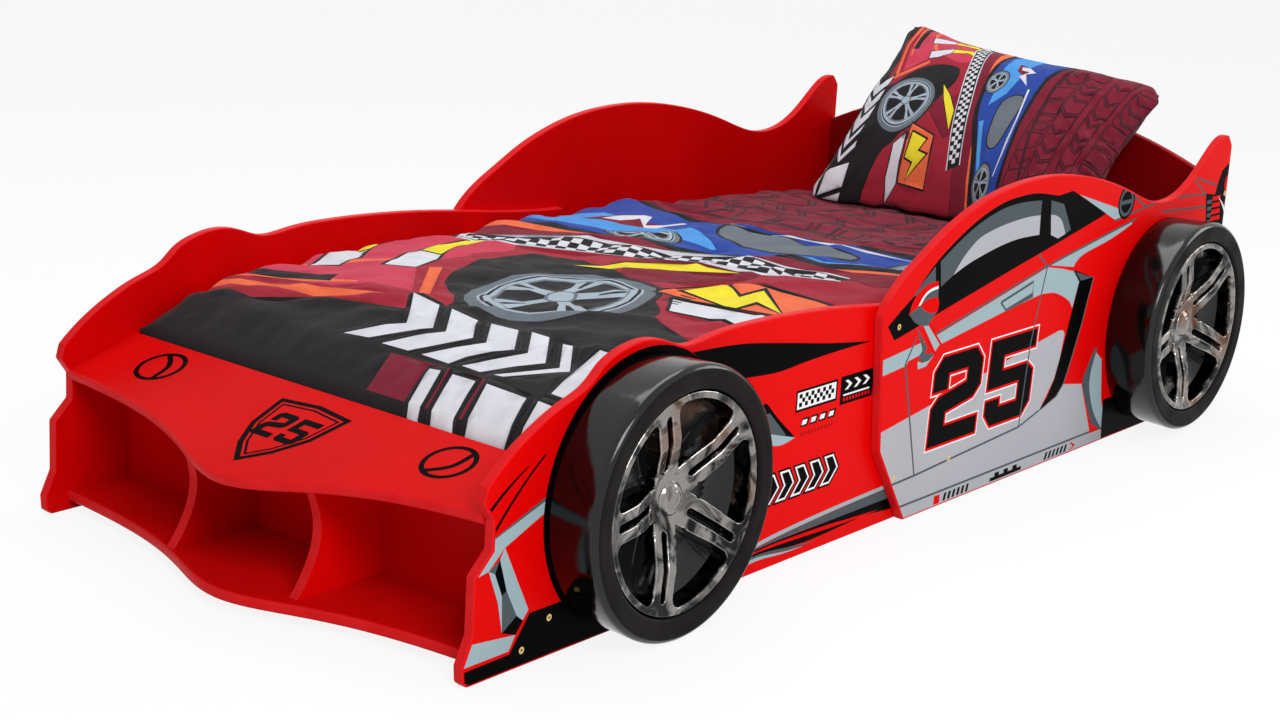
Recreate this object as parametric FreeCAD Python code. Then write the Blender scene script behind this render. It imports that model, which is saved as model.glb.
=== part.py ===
"""Children's car bed: painted board sides shaped like a racing car, a nose shelf, slats and bedding.

Units are millimetres. X runs from the nose (-X) to the head end (+X), Z is up, and the left side of
the car is at -Y. Lengths along the bed are first measured from the foot of the nose, and the origin
is in the middle of the whole object's footprint, on the floor. The wheels stand on the left side
only, since the right side stands against a wall.
"""
import math
import os

import FreeCAD
import Part

V = FreeCAD.Vector

# ---- driving dimensions -------------------------------------------------------------------------
board = 18.0                    # thickness of every painted board
side_length = 2224.0            # nose foot to the rear ends of the side boards
inner_width = 920.0             # clear width between the two front side boards
edge_round = 3.0                # softened edges of the boards
corner_round = 7.0              # corners of the side boards' outlines

# The side outlines are drawn in even steps: so many over the length, so many up to the wing.
length_step_count = 2224
wing_step_count = 433
front_board_end_step = 1250     # the front side boards stop here, inside the rear boards
door_foot_step = 1069           # lower front corner of a rear side board
door_kink_step = (976, 140)     # where its front edge turns upright
door_top_step = (953, 376)      # top of that edge
front_wheel_step = 360          # wheel centres
rear_wheel_step = 1956

arch_height = 556.0             # top of the cabin arch
fin_height = 563.0              # top of the tail fin
fin_dip = 456.0                 # hollow between the two
sill_height = 417.0             # top of the long low stretch behind the front wheel
wing_height = 433.0             # top of the bump over the front wheel

headboard_crown = 575.0         # top of the headboard's arch, in the middle
headboard_shoulder = 462.0      # its height at the side boards
headboard_foot = 60.0           # its lower edge

footboard_front = 166.0         # front face of the board behind the nose shelf
hood_rear_top = 278.0           # height of the hood's rear edge
hood_slope = 16.2               # degrees, falling towards the nose
nose_side_reach = 44.0          # front edge of the hood and the nose floor at the side boards
nose_bulge = 101.0              # how far their middle stands in front of that
nose_bulge_offset = -30.0       # the bulge's middle, seen across the bed
nose_bulge_width = 195.0        # from its middle to half its height
nose_floor_top = 34.0
nose_edge_round = 5.0
divider_offset = 140.0          # each divider's mid-plane from the middle
divider_top_front = 27.0        # front edge of a divider: top, waist and foot
divider_waist_front = 42.0
divider_foot_front = -2.0

slat_top = 185.0
slat_thickness = 18.0
slat_width = 70.0
slat_count = 13
slat_end_gap = 3.0              # each end of a slat from the side board
first_slat_room = 15.0          # from the end boards to the first and last slat
rail_height = 40.0
rail_thickness = 25.0
strap_width = 25.0
strap_thickness = 1.5
strap_offset = 300.0
strap_end_gap = 2.0             # each end of a strap from its cleat

mattress_end_room = 11.0        # from each end of the mattress to the board
mattress_side_room = 10.0
mattress_thickness = 100.0
mattress_round = 18.0
soft_gap = 0.3                  # clearance round every soft piece
duvet_thickness = 88.0          # over the middle of the mattress
duvet_side_gap = 3.0
duvet_share = 0.945             # its length as a share of the mattress
duvet_foot_thickness = 7.0
duvet_head_thickness = 40.0

pillow_length = 650.0
pillow_width = 470.0
pillow_upper_rise = 75.0        # crown above the seams
pillow_lower_sag = 120.0        # belly below them
pillow_seam = 14.0              # thickness along its ends
pillow_draw_in = 22.0           # how far the long sides pull in between the corners
pillow_lean = 42.0              # degrees from flat
pillow_tilt = 4.0               # degrees, its right-hand end the lower
pillow_offset = -30.0           # middle of the pillow across the bed

wheel_radius = 207.0
wheel_inner_radius = 203.0      # the tread is a little smaller at the board
wheel_depth = 96.0              # how far a wheel stands out of its board
wheel_shell = 3.0
front_wheel_height = 208.5      # height of the wheel centres
rear_wheel_height = 219.0
tyre_shoulder = 12.0            # rounding from tread to side wall
rim_radius = 169.0
rim_lip = 11.0
rim_front = 90.0                # how far the rim's lip stands out of the board
dish_depth = 40.0               # front of the dark dish behind the spokes
dish_thickness = 3.0
dish_radius = 145.0
hub_radius = 30.0
hub_front = 60.0
hub_cap_radius = 19.0
hub_cap_height = 10.0
spoke_pairs = 5
spoke_width = 15.0
spoke_thickness = 12.0
spoke_spread = 15.0             # degrees between the two bars of a pair at the lip
spoke_bend = 0.6                # where a bar bends, as a share of the rim's radius
spoke_drop = 7.0                # how far that bend lies behind the lip
front_wheel_turn = 20.0         # degrees that each rim is turned from one pair upright
rear_wheel_turn = 27.0
wheel_block_radius = 62.0

screw_head_radius = 5.5
screw_head_height = 3.5
screw_radius = 3.0
side_screw_length = 30.0        # through a rear board into the front board
panel_screw_length = 55.0       # through a side board into the edge of a cross board
rail_screw_radius = 2.0
rail_screw_length = 36.0
rail_screw_count = 5
rail_screw_inset = 90.0
wheel_screw_radius = 3.0
dowel_radius = 4.0
dowel_length = 28.0
dowel_in_board = 9.0

# ---- places worked out from them ----------------------------------------------------------------
nose_front = nose_side_reach - nose_bulge
x_shift = -(side_length + nose_front) / 2      # both put the origin in the middle of the footprint
y_shift = wheel_depth / 2
length_step = side_length / length_step_count
height_step = wing_height / wing_step_count
front_board_end = front_board_end_step * length_step
inner_y = inner_width / 2                      # inner face of a front side board
joint_y = inner_y + board                      # where front and rear side boards meet
outer_y = joint_y + board                      # outer face of a rear side board
headboard_front = side_length - board
footboard_rear = footboard_front + board
rail_top = slat_top - slat_thickness
rail_inner_y = inner_y - rail_thickness
mattress_start = footboard_rear + mattress_end_room
mattress_length = headboard_front - mattress_end_room - mattress_start
mattress_width = inner_width - 2 * mattress_side_room
duvet_length = mattress_length * duvet_share
duvet_base = slat_top + mattress_thickness + soft_gap
slope = math.tan(math.radians(hood_slope))
hood_under_drop = board / math.cos(math.radians(hood_slope))
os.makedirs("parts", exist_ok=True)
finished = {}


def hood_height(x):
    """Height of the hood's upper face at x from the nose."""
    return hood_rear_top - (footboard_rear - x) * slope


def place(x, y, z):
    """A point given from the nose foot and the boards' middle, in the object's own frame."""
    return V(x + x_shift, y + y_shift, z)


def write(node, *solids):
    """Keep a finished piece under its name and write its file."""
    shape = solids[0] if len(solids) == 1 else Part.makeCompound(list(solids))
    finished[node] = shape
    shape.exportStep("parts/%s.step" % node)
    print("%-26s solids %2d  volume %12.1f  valid %s"
          % (node, len(shape.Solids), shape.Volume, shape.isValid()))


def box(x0, x1, y0, y1, z0, z1):
    return Part.makeBox(x1 - x0, y1 - y0, z1 - z0, place(x0, y0, z0))


def curve_through(points):
    spline = Part.BSplineCurve()
    spline.interpolate(points)
    return spline.toShape()


def closed_face(stretches):
    """A face from stretches of points: two points are a line, more are one smooth curve."""
    edges = []
    for points in stretches:
        if len(points) == 2:
            edges.append(Part.makeLine(points[0], points[1]))
        else:
            edges.append(curve_through(points))
    return Part.Face(Part.Wire(edges))


def chained(start, *steps):
    """Stretches that follow each other: each step lists the points after the last one."""
    stretches = []
    last = start
    for step in steps:
        stretches.append([last] + list(step))
        last = step[-1]
    stretches.append([last, start])
    return stretches


def rounded(solid, radius, keep):
    """Soften the edges for which keep(edge) is true."""
    return solid.makeFillet(radius, [edge for edge in solid.Edges if keep(edge)])


def lies_at(axis, *values):
    """A test for edges that lie whole in one of the planes axis = value."""
    def keep(edge):
        low = getattr(edge.BoundBox, axis + "Min")
        high = getattr(edge.BoundBox, axis + "Max")
        return any(abs(low - v) < 0.01 and abs(high - v) < 0.01 for v in values)
    return keep


# ---- side boards --------------------------------------------------------------------------------
def side_point(x_step, z):
    """A point of a side outline: steps along the bed, and a height."""
    return place(x_step * length_step, 0, z)


def nose_point(x_step, z_step):
    """A point of a side outline with both given in steps."""
    return side_point(x_step, z_step * height_step)


def front_board_face():
    """Outline of a front side board: stepped nose, wing over the wheel, low sill to its end."""
    nose = [
        [nose_point(2, 8)],
        [nose_point(0, 32)],
        [nose_point(19, 72)],
        [nose_point(19, 156)],
        [nose_point(52, 188)],
        [nose_point(52, 230)],
        [nose_point(32, 258)],
        [nose_point(38, 280)],
    ]
    top_line = [
        nose_point(78, 313),
        nose_point(130, 344),
        nose_point(189, 369),
        nose_point(243, 390),
        nose_point(268, 410),
        side_point(310, wing_height - 6),
        side_point(360, wing_height),
        side_point(408, wing_height - 9),
        side_point(450, sill_height - 7),
        side_point(520, sill_height - 4),
        side_point(620, sill_height),
        side_point(760, sill_height - 5),
        side_point(890, sill_height - 16),
        side_point(1070, sill_height - 38),
        side_point(front_board_end_step, sill_height - 52),
    ]
    end = [side_point(front_board_end_step, 0)]
    return closed_face(chained(nose_point(12, 0), *nose, top_line, end))


def rear_board_face():
    """Outline of a rear side board: door edge, cabin arch, dip, tail fin, bumper."""
    door_edge = [
        [nose_point(*door_kink_step)],
        [nose_point(*door_top_step)],
    ]
    cabin = [
        side_point(1010, arch_height - 126),
        side_point(1072, arch_height - 92),
        side_point(1140, arch_height - 58),
        side_point(1210, arch_height - 32),
        side_point(1290, arch_height - 12),
        side_point(1385, arch_height - 1),
        side_point(1480, arch_height),
        side_point(1590, arch_height - 11),
        side_point(1690, arch_height - 31),
        side_point(1800, arch_height - 64),
        side_point(1885, fin_dip + 8),
        side_point(1945, fin_dip),
        side_point(2012, fin_dip + 9),
        side_point(2062, fin_dip + 30),
        side_point(2104, fin_dip + 58),
        side_point(2142, fin_height - 21),
        side_point(2176, fin_height - 3),
        side_point(2206, fin_height),
    ]
    bumper = [
        [side_point(length_step_count, fin_height - 22)],
        [nose_point(length_step_count, 96)],
        [nose_point(length_step_count - 22, 58)],
        [nose_point(length_step_count - 22, 0)],
    ]
    return closed_face(chained(side_point(door_foot_step, 0), *door_edge, cabin, *bumper))


def upright_board(face, y0):
    """A board cut to a side outline, corners and edges softened, its left-hand face at y0."""
    solid = face.extrude(V(0, board, 0))
    solid.translate(V(0, y0, 0))
    corners = [edge for edge in solid.Edges if edge.BoundBox.YLength > board / 2]
    solid = solid.makeFillet(corner_round, corners)
    faces = (place(0, y0, 0).y, place(0, y0 + board, 0).y)
    return rounded(solid, edge_round, lies_at("Y", *faces))


def build_side_boards():
    pieces = {}
    front = front_board_face()
    rear = rear_board_face()
    pieces["front_side_board_left"] = upright_board(front, -joint_y)
    pieces["front_side_board_right"] = upright_board(front, inner_y)
    pieces["rear_side_board_left"] = upright_board(rear, -outer_y)
    pieces["rear_side_board_right"] = upright_board(rear, joint_y)
    return pieces


# ---- cross boards -------------------------------------------------------------------------------
def build_headboard():
    """Arched board between the rear side boards."""
    def at(y, z):
        return place(headboard_front, y, z)
    arch = Part.Arc(at(joint_y, headboard_shoulder), at(0, headboard_crown),
                    at(-joint_y, headboard_shoulder)).toShape()
    lines = [
        Part.makeLine(at(-joint_y, headboard_shoulder), at(-joint_y, headboard_foot)),
        Part.makeLine(at(-joint_y, headboard_foot), at(joint_y, headboard_foot)),
        Part.makeLine(at(joint_y, headboard_foot), at(joint_y, headboard_shoulder)),
    ]
    solid = Part.Face(Part.Wire([arch] + lines)).extrude(V(board, 0, 0))

    def along_arch(edge):
        flat = edge.BoundBox.XLength < 0.01
        return flat and edge.BoundBox.ZMax > headboard_crown - 1
    return rounded(solid, edge_round, along_arch)


def nose_reach(y):
    """Front edge of the hood and the nose floor: a smooth bulge round its own middle."""
    def bell(distance):
        return 1 / (1 + (distance / nose_bulge_width) ** 2)

    distance = abs(y - nose_bulge_offset)
    at_side = bell(inner_y + abs(nose_bulge_offset) * (1 if y * nose_bulge_offset < 0 else -1))
    return nose_side_reach - nose_bulge * (bell(distance) - at_side) / (1 - at_side)


def nose_outline(height, rear, stretch):
    """The shelf shape shared by hood and floor, its length from rear measured stretch times."""
    half_count = 8
    ys = [nose_bulge_offset + (inner_y - nose_bulge_offset) * i / half_count
          for i in range(half_count, 0, -1)]
    ys += [nose_bulge_offset - (inner_y + nose_bulge_offset) * i / half_count
           for i in range(half_count + 1)]
    front = [place(rear - (rear - nose_reach(y)) * stretch, y, height) for y in ys]
    corner_left = place(rear, -inner_y, height)
    corner_right = place(rear, inner_y, height)
    return closed_face([[corner_right, front[0]], front, [front[-1], corner_left],
                        [corner_left, corner_right]])


def along_front(edge):
    """True for the long wavy edges of a nose board."""
    curved = edge.Curve.TypeId == "Part::GeomBSplineCurve"
    return curved and edge.BoundBox.YLength > inner_width / 2


def build_hood():
    """Sloping board on top of the nose, hinged down about its rear upper edge."""
    face = nose_outline(hood_rear_top, footboard_rear, 1 / math.cos(math.radians(hood_slope)))
    solid = face.extrude(V(0, 0, -board))
    solid = rounded(solid, nose_edge_round, along_front)
    solid.rotate(place(footboard_rear, 0, hood_rear_top), V(0, 1, 0), -hood_slope)
    # the rear edge is planed upright again, flush with the footboard
    behind = box(footboard_rear, footboard_rear + 40, -inner_y - 1, inner_y + 1, 0, 600)
    return solid.cut(behind)


def build_nose_floor():
    solid = nose_outline(nose_floor_top - board, footboard_front, 1.0).extrude(V(0, 0, board))
    return rounded(solid, nose_edge_round, along_front)


def under_hood(solid):
    """Cut away all that stands above the underside of the hood."""
    reach = 400
    low = [
        place(footboard_rear - reach, 0, hood_height(footboard_rear - reach) - hood_under_drop),
        place(footboard_rear + reach, 0, hood_height(footboard_rear + reach) - hood_under_drop),
        place(footboard_rear + reach, 0, 900),
        place(footboard_rear - reach, 0, 900),
    ]
    wedge = closed_face([[low[i], low[(i + 1) % 4]] for i in range(4)]).extrude(V(0, 2000, 0))
    wedge.translate(V(0, -1000, 0))
    return solid.cut(wedge)


def build_footboard():
    solid = box(footboard_front, footboard_rear, -inner_y, inner_y,
                nose_floor_top - board, hood_rear_top)
    return under_hood(solid)


def build_divider(y_mid):
    """Upright between two compartments, its front edge curved like a bow."""
    top = hood_rear_top
    waist_z = nose_floor_top + 95
    bow = [
        place(divider_foot_front, 0, nose_floor_top),
        place(divider_foot_front + 27, 0, nose_floor_top + 38),
        place(divider_waist_front, 0, waist_z),
        place(divider_top_front, 0, waist_z + 60),
        place(divider_top_front - 30, 0, top),
    ]
    face = closed_face([bow, [bow[-1], place(footboard_front, 0, top)],
                        [place(footboard_front, 0, top),
                         place(footboard_front, 0, nose_floor_top)],
                        [place(footboard_front, 0, nose_floor_top), bow[0]]])
    solid = face.extrude(V(0, board, 0))
    solid.translate(V(0, y_mid - board / 2, 0))
    return under_hood(solid)


# ---- slats and what carries them ----------------------------------------------------------------
def build_rail(side):
    """Rail along a side board, side is -1 for left and 1 for right."""
    ys = sorted((side * rail_inner_y, side * inner_y))
    return box(footboard_rear, headboard_front, ys[0], ys[1], rail_top - rail_height, rail_top)


def build_packer(side):
    """Strip that fills the step between the rail and the rear side board."""
    ys = sorted((side * inner_y, side * joint_y))
    return box(front_board_end, headboard_front, ys[0], ys[1], rail_top - rail_height, rail_top)


def build_cleat(x0):
    return box(x0, x0 + rail_thickness, -rail_inner_y, rail_inner_y,
               rail_top - rail_height, rail_top)


def slat_start(index):
    first = footboard_rear + first_slat_room
    last = headboard_front - first_slat_room - slat_width
    return first + (last - first) * index / (slat_count - 1)


def build_slat(index):
    x0 = slat_start(index)
    half = inner_y - slat_end_gap
    solid = box(x0, x0 + slat_width, -half, half, rail_top, slat_top)
    ends = (place(x0, 0, 0).x, place(x0 + slat_width, 0, 0).x)
    return rounded(solid, edge_round, lies_at("X", *ends))


def build_strap(side):
    """Webbing band under the slats, between the two cleats."""
    y_mid = side * strap_offset
    end_room = rail_thickness + strap_end_gap
    return box(footboard_rear + end_room, headboard_front - end_room,
               y_mid - strap_width / 2, y_mid + strap_width / 2,
               rail_top - strap_thickness, rail_top)


# ---- bedding ------------------------------------------------------------------------------------
def build_mattress():
    solid = box(mattress_start, mattress_start + mattress_length, -mattress_width / 2,
                mattress_width / 2, slat_top + soft_gap, slat_top + mattress_thickness)
    upright = [e for e in solid.Edges if e.BoundBox.ZLength > mattress_thickness / 2]
    return solid.makeFillet(mattress_round, upright)


def duvet_section(x, thickness):
    """Cross section of the duvet: flat below, softly crowned above, full at the side boards."""
    half = inner_y - duvet_side_gap
    side = thickness * 0.86
    low_left = place(x, -half, duvet_base)
    low_right = place(x, half, duvet_base)
    high_left = place(x, -half, duvet_base + side)
    high_right = place(x, half, duvet_base + side)
    crown = place(x, 0, duvet_base + thickness)
    return Part.Wire([
        Part.makeLine(low_left, low_right),
        Part.makeLine(low_right, high_right),
        Part.Arc(high_right, crown, high_left).toShape(),
        Part.makeLine(high_left, low_left),
    ])


def build_duvet():
    """Quilt over the mattress, thin where it is tucked in behind the hood."""
    shares = [(0.0, None), (0.045, 0.62), (0.12, 0.93), (0.3, 1.0), (0.55, 1.0), (0.8, 0.95)]
    start = mattress_start
    sections = []
    for share, fullness in shares:
        thickness = duvet_foot_thickness if fullness is None else duvet_thickness * fullness
        sections.append(duvet_section(start + duvet_length * share, thickness))
    sections.append(duvet_section(start + duvet_length, duvet_head_thickness))
    return Part.makeLoft(sections, True, False)


def pillow_section(u, half_width, rise, sag):
    """One slice across the pillow at u along its length: two shallow arcs that meet at the seams."""
    front = V(u, -half_width, 0)
    back = V(u, half_width, 0)
    upper = Part.Arc(front, V(u, 0, rise), back).toShape()
    lower = Part.Arc(back, V(u, 0, -sag), front).toShape()
    return Part.Wire([upper, lower])


def settle(piece, other, direction, reach=60.0):
    """Move a clear piece along a direction until it lies the soft gap from another."""
    clear = 0.0
    while reach - clear > 0.02:
        middle = (clear + reach) / 2
        moved = piece.translated(direction * middle)
        if moved.common(other).Volume > 0.001:
            reach = middle
        else:
            clear = middle
    piece.translate(direction * (clear - soft_gap))


def build_pillow(headboard, duvet):
    """Plump pillow with drawn-in sides, leant back against the headboard."""
    sections = []
    steps = 8
    seam = pillow_seam / 2
    for i in range(steps + 1):
        t = -1 + 2 * i / steps
        fullness = (1 - abs(t) ** 2.6) ** 0.6
        rise = seam + (pillow_upper_rise - seam) * fullness
        sag = seam + (pillow_lower_sag - seam) * fullness
        half_width = pillow_width / 2 - pillow_draw_in * (1 - t * t)
        sections.append(pillow_section(t * pillow_length / 2, half_width, rise, sag))
    pillow = Part.makeLoft(sections, True, False)
    pillow.rotate(V(0, 0, 0), V(1, 0, 0), pillow_lean)
    pillow.rotate(V(0, 0, 0), V(0, 0, 1), -90)
    pillow.rotate(V(0, 0, 0), V(1, 0, 0), pillow_tilt)
    bounds = pillow.BoundBox
    pillow.translate(V(place(headboard_front - soft_gap, 0, 0).x - bounds.XMax,
                       place(0, pillow_offset, 0).y - bounds.Center.y,
                       duvet_base + duvet_thickness + soft_gap - bounds.ZMin))
    settle(pillow, duvet, V(0, 0, -1))
    settle(pillow, headboard, V(1, 0, 0))
    return pillow


# ---- wheels -------------------------------------------------------------------------------------
def turned(profile):
    """Turn a closed profile of (radius, depth) points about the wheel axis, which is Z here."""
    points = [V(r, 0, d) for r, d in profile]
    points.append(points[0])
    return Part.Face(Part.makePolygon(points)).revolve(V(0, 0, 0), V(0, 0, 1), 360)


def tyre_blank():
    """Thin formed shell: tread, rounded shoulder and side wall, open towards the board."""
    wall = wheel_shell
    lip = rim_radius
    outer = [
        (wheel_inner_radius, 0),
        (wheel_radius, wheel_depth - tyre_shoulder),
        (wheel_radius - tyre_shoulder * 0.3, wheel_depth - tyre_shoulder * 0.3),
        (wheel_radius - tyre_shoulder, wheel_depth),
        (lip + 6, wheel_depth),
        (lip, rim_front),
    ]
    inner = [
        (lip, rim_front - wall),
        (lip + 5, wheel_depth - wall),
        (wheel_radius - tyre_shoulder, wheel_depth - wall),
        (wheel_radius - wall, wheel_depth - tyre_shoulder),
        (wheel_inner_radius - wall, 0),
    ]
    return turned(outer + inner)


def spoke(angle, side):
    """One bar of a pair: it leaves the hub, bends outwards and rises to the rim's lip."""
    spread = math.radians(spoke_spread / 2) * side
    reach = rim_radius - rim_lip / 2
    bend_r = rim_radius * spoke_bend

    def at(radius, swing, depth, across):
        a = angle + swing
        return V(radius * math.cos(a) - across * math.sin(a),
                 radius * math.sin(a) + across * math.cos(a), depth)

    def section(radius, swing, depth, width):
        low = depth - spoke_thickness
        corners = [at(radius, swing, low, -width / 2), at(radius, swing, low, width / 2),
                   at(radius, swing, depth, width / 2), at(radius, swing, depth, -width / 2)]
        return Part.makePolygon(corners + [corners[0]])

    start = section(hub_radius * 0.6, spread * 1.6, hub_front - 4, spoke_width)
    bend = section(bend_r, spread * 1.5, rim_front - spoke_drop, spoke_width)
    end = section(reach, spread, rim_front - 2, spoke_width * 0.85)
    return Part.makeLoft([start, bend, end], True, True)


def rim_blank():
    """Rim: lip, sloping wall, dished back plate, hub and five pairs of bars."""
    wall = dish_thickness
    body = turned([
        (0, dish_depth - wall),
        (dish_radius, dish_depth - wall),
        (rim_radius - 4, rim_front - wall - 22),
        (rim_radius, rim_front - wall - 4),
        (rim_radius, rim_front),
        (rim_radius - rim_lip, rim_front + 2),
        (rim_radius - rim_lip - 2, rim_front - 16),
        (dish_radius - wall, dish_depth),
        (0, dish_depth),
    ])
    hub = Part.makeCylinder(hub_radius, hub_front - dish_depth + wall, V(0, 0, dish_depth - wall))
    bars = []
    for i in range(spoke_pairs):
        angle = math.radians(90 + i * 360 / spoke_pairs)
        bars += [spoke(angle, -1), spoke(angle, 1)]
    return body.fuse([hub] + bars).removeSplitter()


def hub_cap_blank():
    """Small domed cap on the middle of the hub."""
    ball = (hub_cap_radius ** 2 + hub_cap_height ** 2) / (2 * hub_cap_height)
    dome = Part.makeSphere(ball, V(0, 0, hub_front + hub_cap_height - ball))
    keep = Part.makeCylinder(hub_cap_radius + 1, hub_cap_height + 1, V(0, 0, hub_front))
    return dome.common(keep)


def wheel_block_blank():
    """Round block that spaces the rim's back plate off the board."""
    return Part.makeCylinder(wheel_block_radius, dish_depth - dish_thickness)


def wheel_screw_blank():
    """Screw through hub and block into the board, hidden by the cap."""
    shank = Part.makeCylinder(wheel_screw_radius, hub_front + board / 2 - screw_head_height,
                              V(0, 0, -board / 2))
    head = Part.makeCylinder(wheel_screw_radius * 2, screw_head_height,
                             V(0, 0, hub_front - screw_head_height))
    return shank.fuse(head)


def to_side(blank, x, board_face_y, height):
    """Stand a wheel piece made about Z on a left side board: depth runs away from the bed."""
    piece = blank.copy()
    piece.rotate(V(0, 0, 0), V(1, 0, 0), 90)
    piece.translate(place(x, -board_face_y, height))
    return piece


def build_wheels():
    """Two fixed wheels, each a tyre shell, a rim, a hub cap and a block, and their screws."""
    pieces = {}
    screws = []
    tyre = tyre_blank()
    screw = wheel_screw_blank()
    rim = rim_blank().cut(screw)
    cap = hub_cap_blank()
    block = wheel_block_blank().cut(screw)
    for end, x, face_y, height, turn in (
            ("front", front_wheel_step * length_step, joint_y, front_wheel_height, front_wheel_turn),
            ("rear", rear_wheel_step * length_step, outer_y, rear_wheel_height, rear_wheel_turn)):
        turned_rim = rim.copy()
        turned_rim.rotate(V(0, 0, 0), V(0, 0, 1), turn)
        pieces["tyre_shell_" + end] = to_side(tyre, x, face_y, height)
        pieces["wheel_rim_" + end] = to_side(turned_rim, x, face_y, height)
        pieces["hub_cap_" + end] = to_side(cap, x, face_y, height)
        pieces["wheel_block_" + end] = to_side(block, x, face_y, height)
        screws.append(to_side(screw, x, face_y, height))
    return pieces, screws


# ---- fasteners ----------------------------------------------------------------------------------
def countersunk(x, z, face_y, side, length, radius):
    """Screw driven inwards from an outer face at side * face_y."""
    head = Part.makeCone(screw_head_radius, radius, screw_head_height)
    shank = Part.makeCylinder(radius, length - screw_head_height, V(0, 0, screw_head_height))
    piece = head.fuse(shank)
    piece.rotate(V(0, 0, 0), V(1, 0, 0), 90 * side)
    piece.translate(place(x, side * face_y, z))
    return piece


def both_sides(places, face_y, length, radius=screw_radius):
    """The same screws on the left and on the right."""
    return [countersunk(x, z, face_y, side, length, radius)
            for side in (-1, 1) for x, z in places]


def joint_screw(corner, x_steps, z_steps):
    """A screw's place, counted from a corner of the rear side board's outline."""
    return (corner[0] + x_steps) * length_step, (corner[1] + z_steps) * height_step


def build_fasteners():
    footboard_mid = footboard_front + board / 2
    headboard_mid = headboard_front + board / 2
    groups = {}
    groups["nose_screws"] = both_sides([
        (footboard_front * 0.72, nose_floor_top - board / 2),
        (footboard_mid, nose_floor_top + 25),
        (footboard_mid, hood_rear_top - 55),
    ], joint_y, panel_screw_length)
    groups["side_joint_screws"] = both_sides([
        joint_screw(door_top_step, 52, -24),
        joint_screw(door_kink_step, 52, -56),
        (front_board_end - 46 * length_step, (door_kink_step[1] - 58) * height_step),
    ], outer_y, side_screw_length)
    groups["headboard_screws"] = both_sides([
        (headboard_mid, headboard_shoulder - 20),
        (headboard_mid, headboard_shoulder - 210),
        (headboard_mid, headboard_foot + 40),
    ], outer_y, panel_screw_length)
    rail_mid = rail_top - rail_height / 2
    rail_screws = []
    for side in (-1, 1):
        for i in range(rail_screw_count):
            span = headboard_front - footboard_rear - 2 * rail_screw_inset
            x = footboard_rear + rail_screw_inset + span * i / (rail_screw_count - 1)
            screw = countersunk(x, rail_mid, 0, -side, rail_screw_length, rail_screw_radius)
            screw.translate(V(0, side * rail_inner_y, 0))
            rail_screws.append(screw)
    groups["rail_screws"] = rail_screws
    return groups


def dowel(centre, axis):
    return Part.makeCylinder(dowel_radius, dowel_length, centre, axis)


def build_dowels():
    """Wooden pins: hood to side boards, and nose floor to dividers."""
    hood_pins = []
    for side in (-1, 1):
        for x in (nose_side_reach + 34, footboard_rear - 30):
            z = hood_height(x) - hood_under_drop / 2
            start = place(x, side * (inner_y + dowel_in_board - dowel_length), z)
            hood_pins.append(dowel(start, V(0, side, 0)) if side > 0 else
                             dowel(place(x, side * (inner_y + dowel_in_board), z), V(0, 1, 0)))
    divider_pins = []
    for side in (-1, 1):
        for x in (nose_side_reach + 20, footboard_front - 30):
            divider_pins.append(dowel(place(x, side * divider_offset, nose_floor_top - dowel_in_board),
                                      V(0, 0, 1)))
    return {"hood_dowels": hood_pins, "divider_dowels": divider_pins}


# ---- the whole bed ------------------------------------------------------------------------------
def drilled(solid, fasteners):
    """Cut away what the fasteners fill."""
    near = [f for f in fasteners if solid.BoundBox.intersect(f.BoundBox)]
    return solid.cut(near) if near else solid


def main():
    pieces = build_side_boards()
    pieces["headboard"] = build_headboard()
    pieces["footboard"] = build_footboard()
    pieces["hood_board"] = build_hood()
    pieces["nose_floor"] = build_nose_floor()
    pieces["nose_divider_left"] = build_divider(-divider_offset)
    pieces["nose_divider_right"] = build_divider(divider_offset)
    pieces["slat_rail_left"] = build_rail(-1)
    pieces["slat_rail_right"] = build_rail(1)
    pieces["rail_packer_left"] = build_packer(-1)
    pieces["rail_packer_right"] = build_packer(1)
    pieces["foot_cleat"] = build_cleat(footboard_rear)
    pieces["head_cleat"] = build_cleat(headboard_front - rail_thickness)

    wheels, wheel_screws = build_wheels()
    groups = build_fasteners()
    groups.update(build_dowels())
    groups["wheel_screws"] = wheel_screws
    everything = [f for group in groups.values() for f in group]
    for node, solid in pieces.items():
        write(node, drilled(solid, everything))
    for node, solid in wheels.items():
        write(node, solid)
    for node, group in groups.items():
        write(node, *group)
    for index in range(slat_count):
        write("slat_%02d" % (index + 1), build_slat(index))
    write("slat_strap_left", build_strap(-1))
    write("slat_strap_right", build_strap(1))
    write("mattress", build_mattress())
    duvet = build_duvet()
    write("duvet", duvet)
    write("pillow", build_pillow(pieces["headboard"], duvet))

    whole = Part.makeCompound(list(finished.values())).BoundBox
    print("nodes", len(finished), "box", [round(v, 1) for v in (
        whole.XMin, whole.XMax, whole.YMin, whole.YMax, whole.ZMin, whole.ZMax)])


main()
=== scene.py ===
"""Looks for the children's car bed: paint, printed film, wheels, screws, bedding, camera and light.

Lengths are in metres in the object's frame. The drawings of the printed film are in millimetres,
with x from the foot of the nose and z from the floor.
"""
import math
import random
from contextlib import contextmanager

import bmesh
import bpy
import numpy as np
from mathutils import Matrix, Vector, geometry


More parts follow.
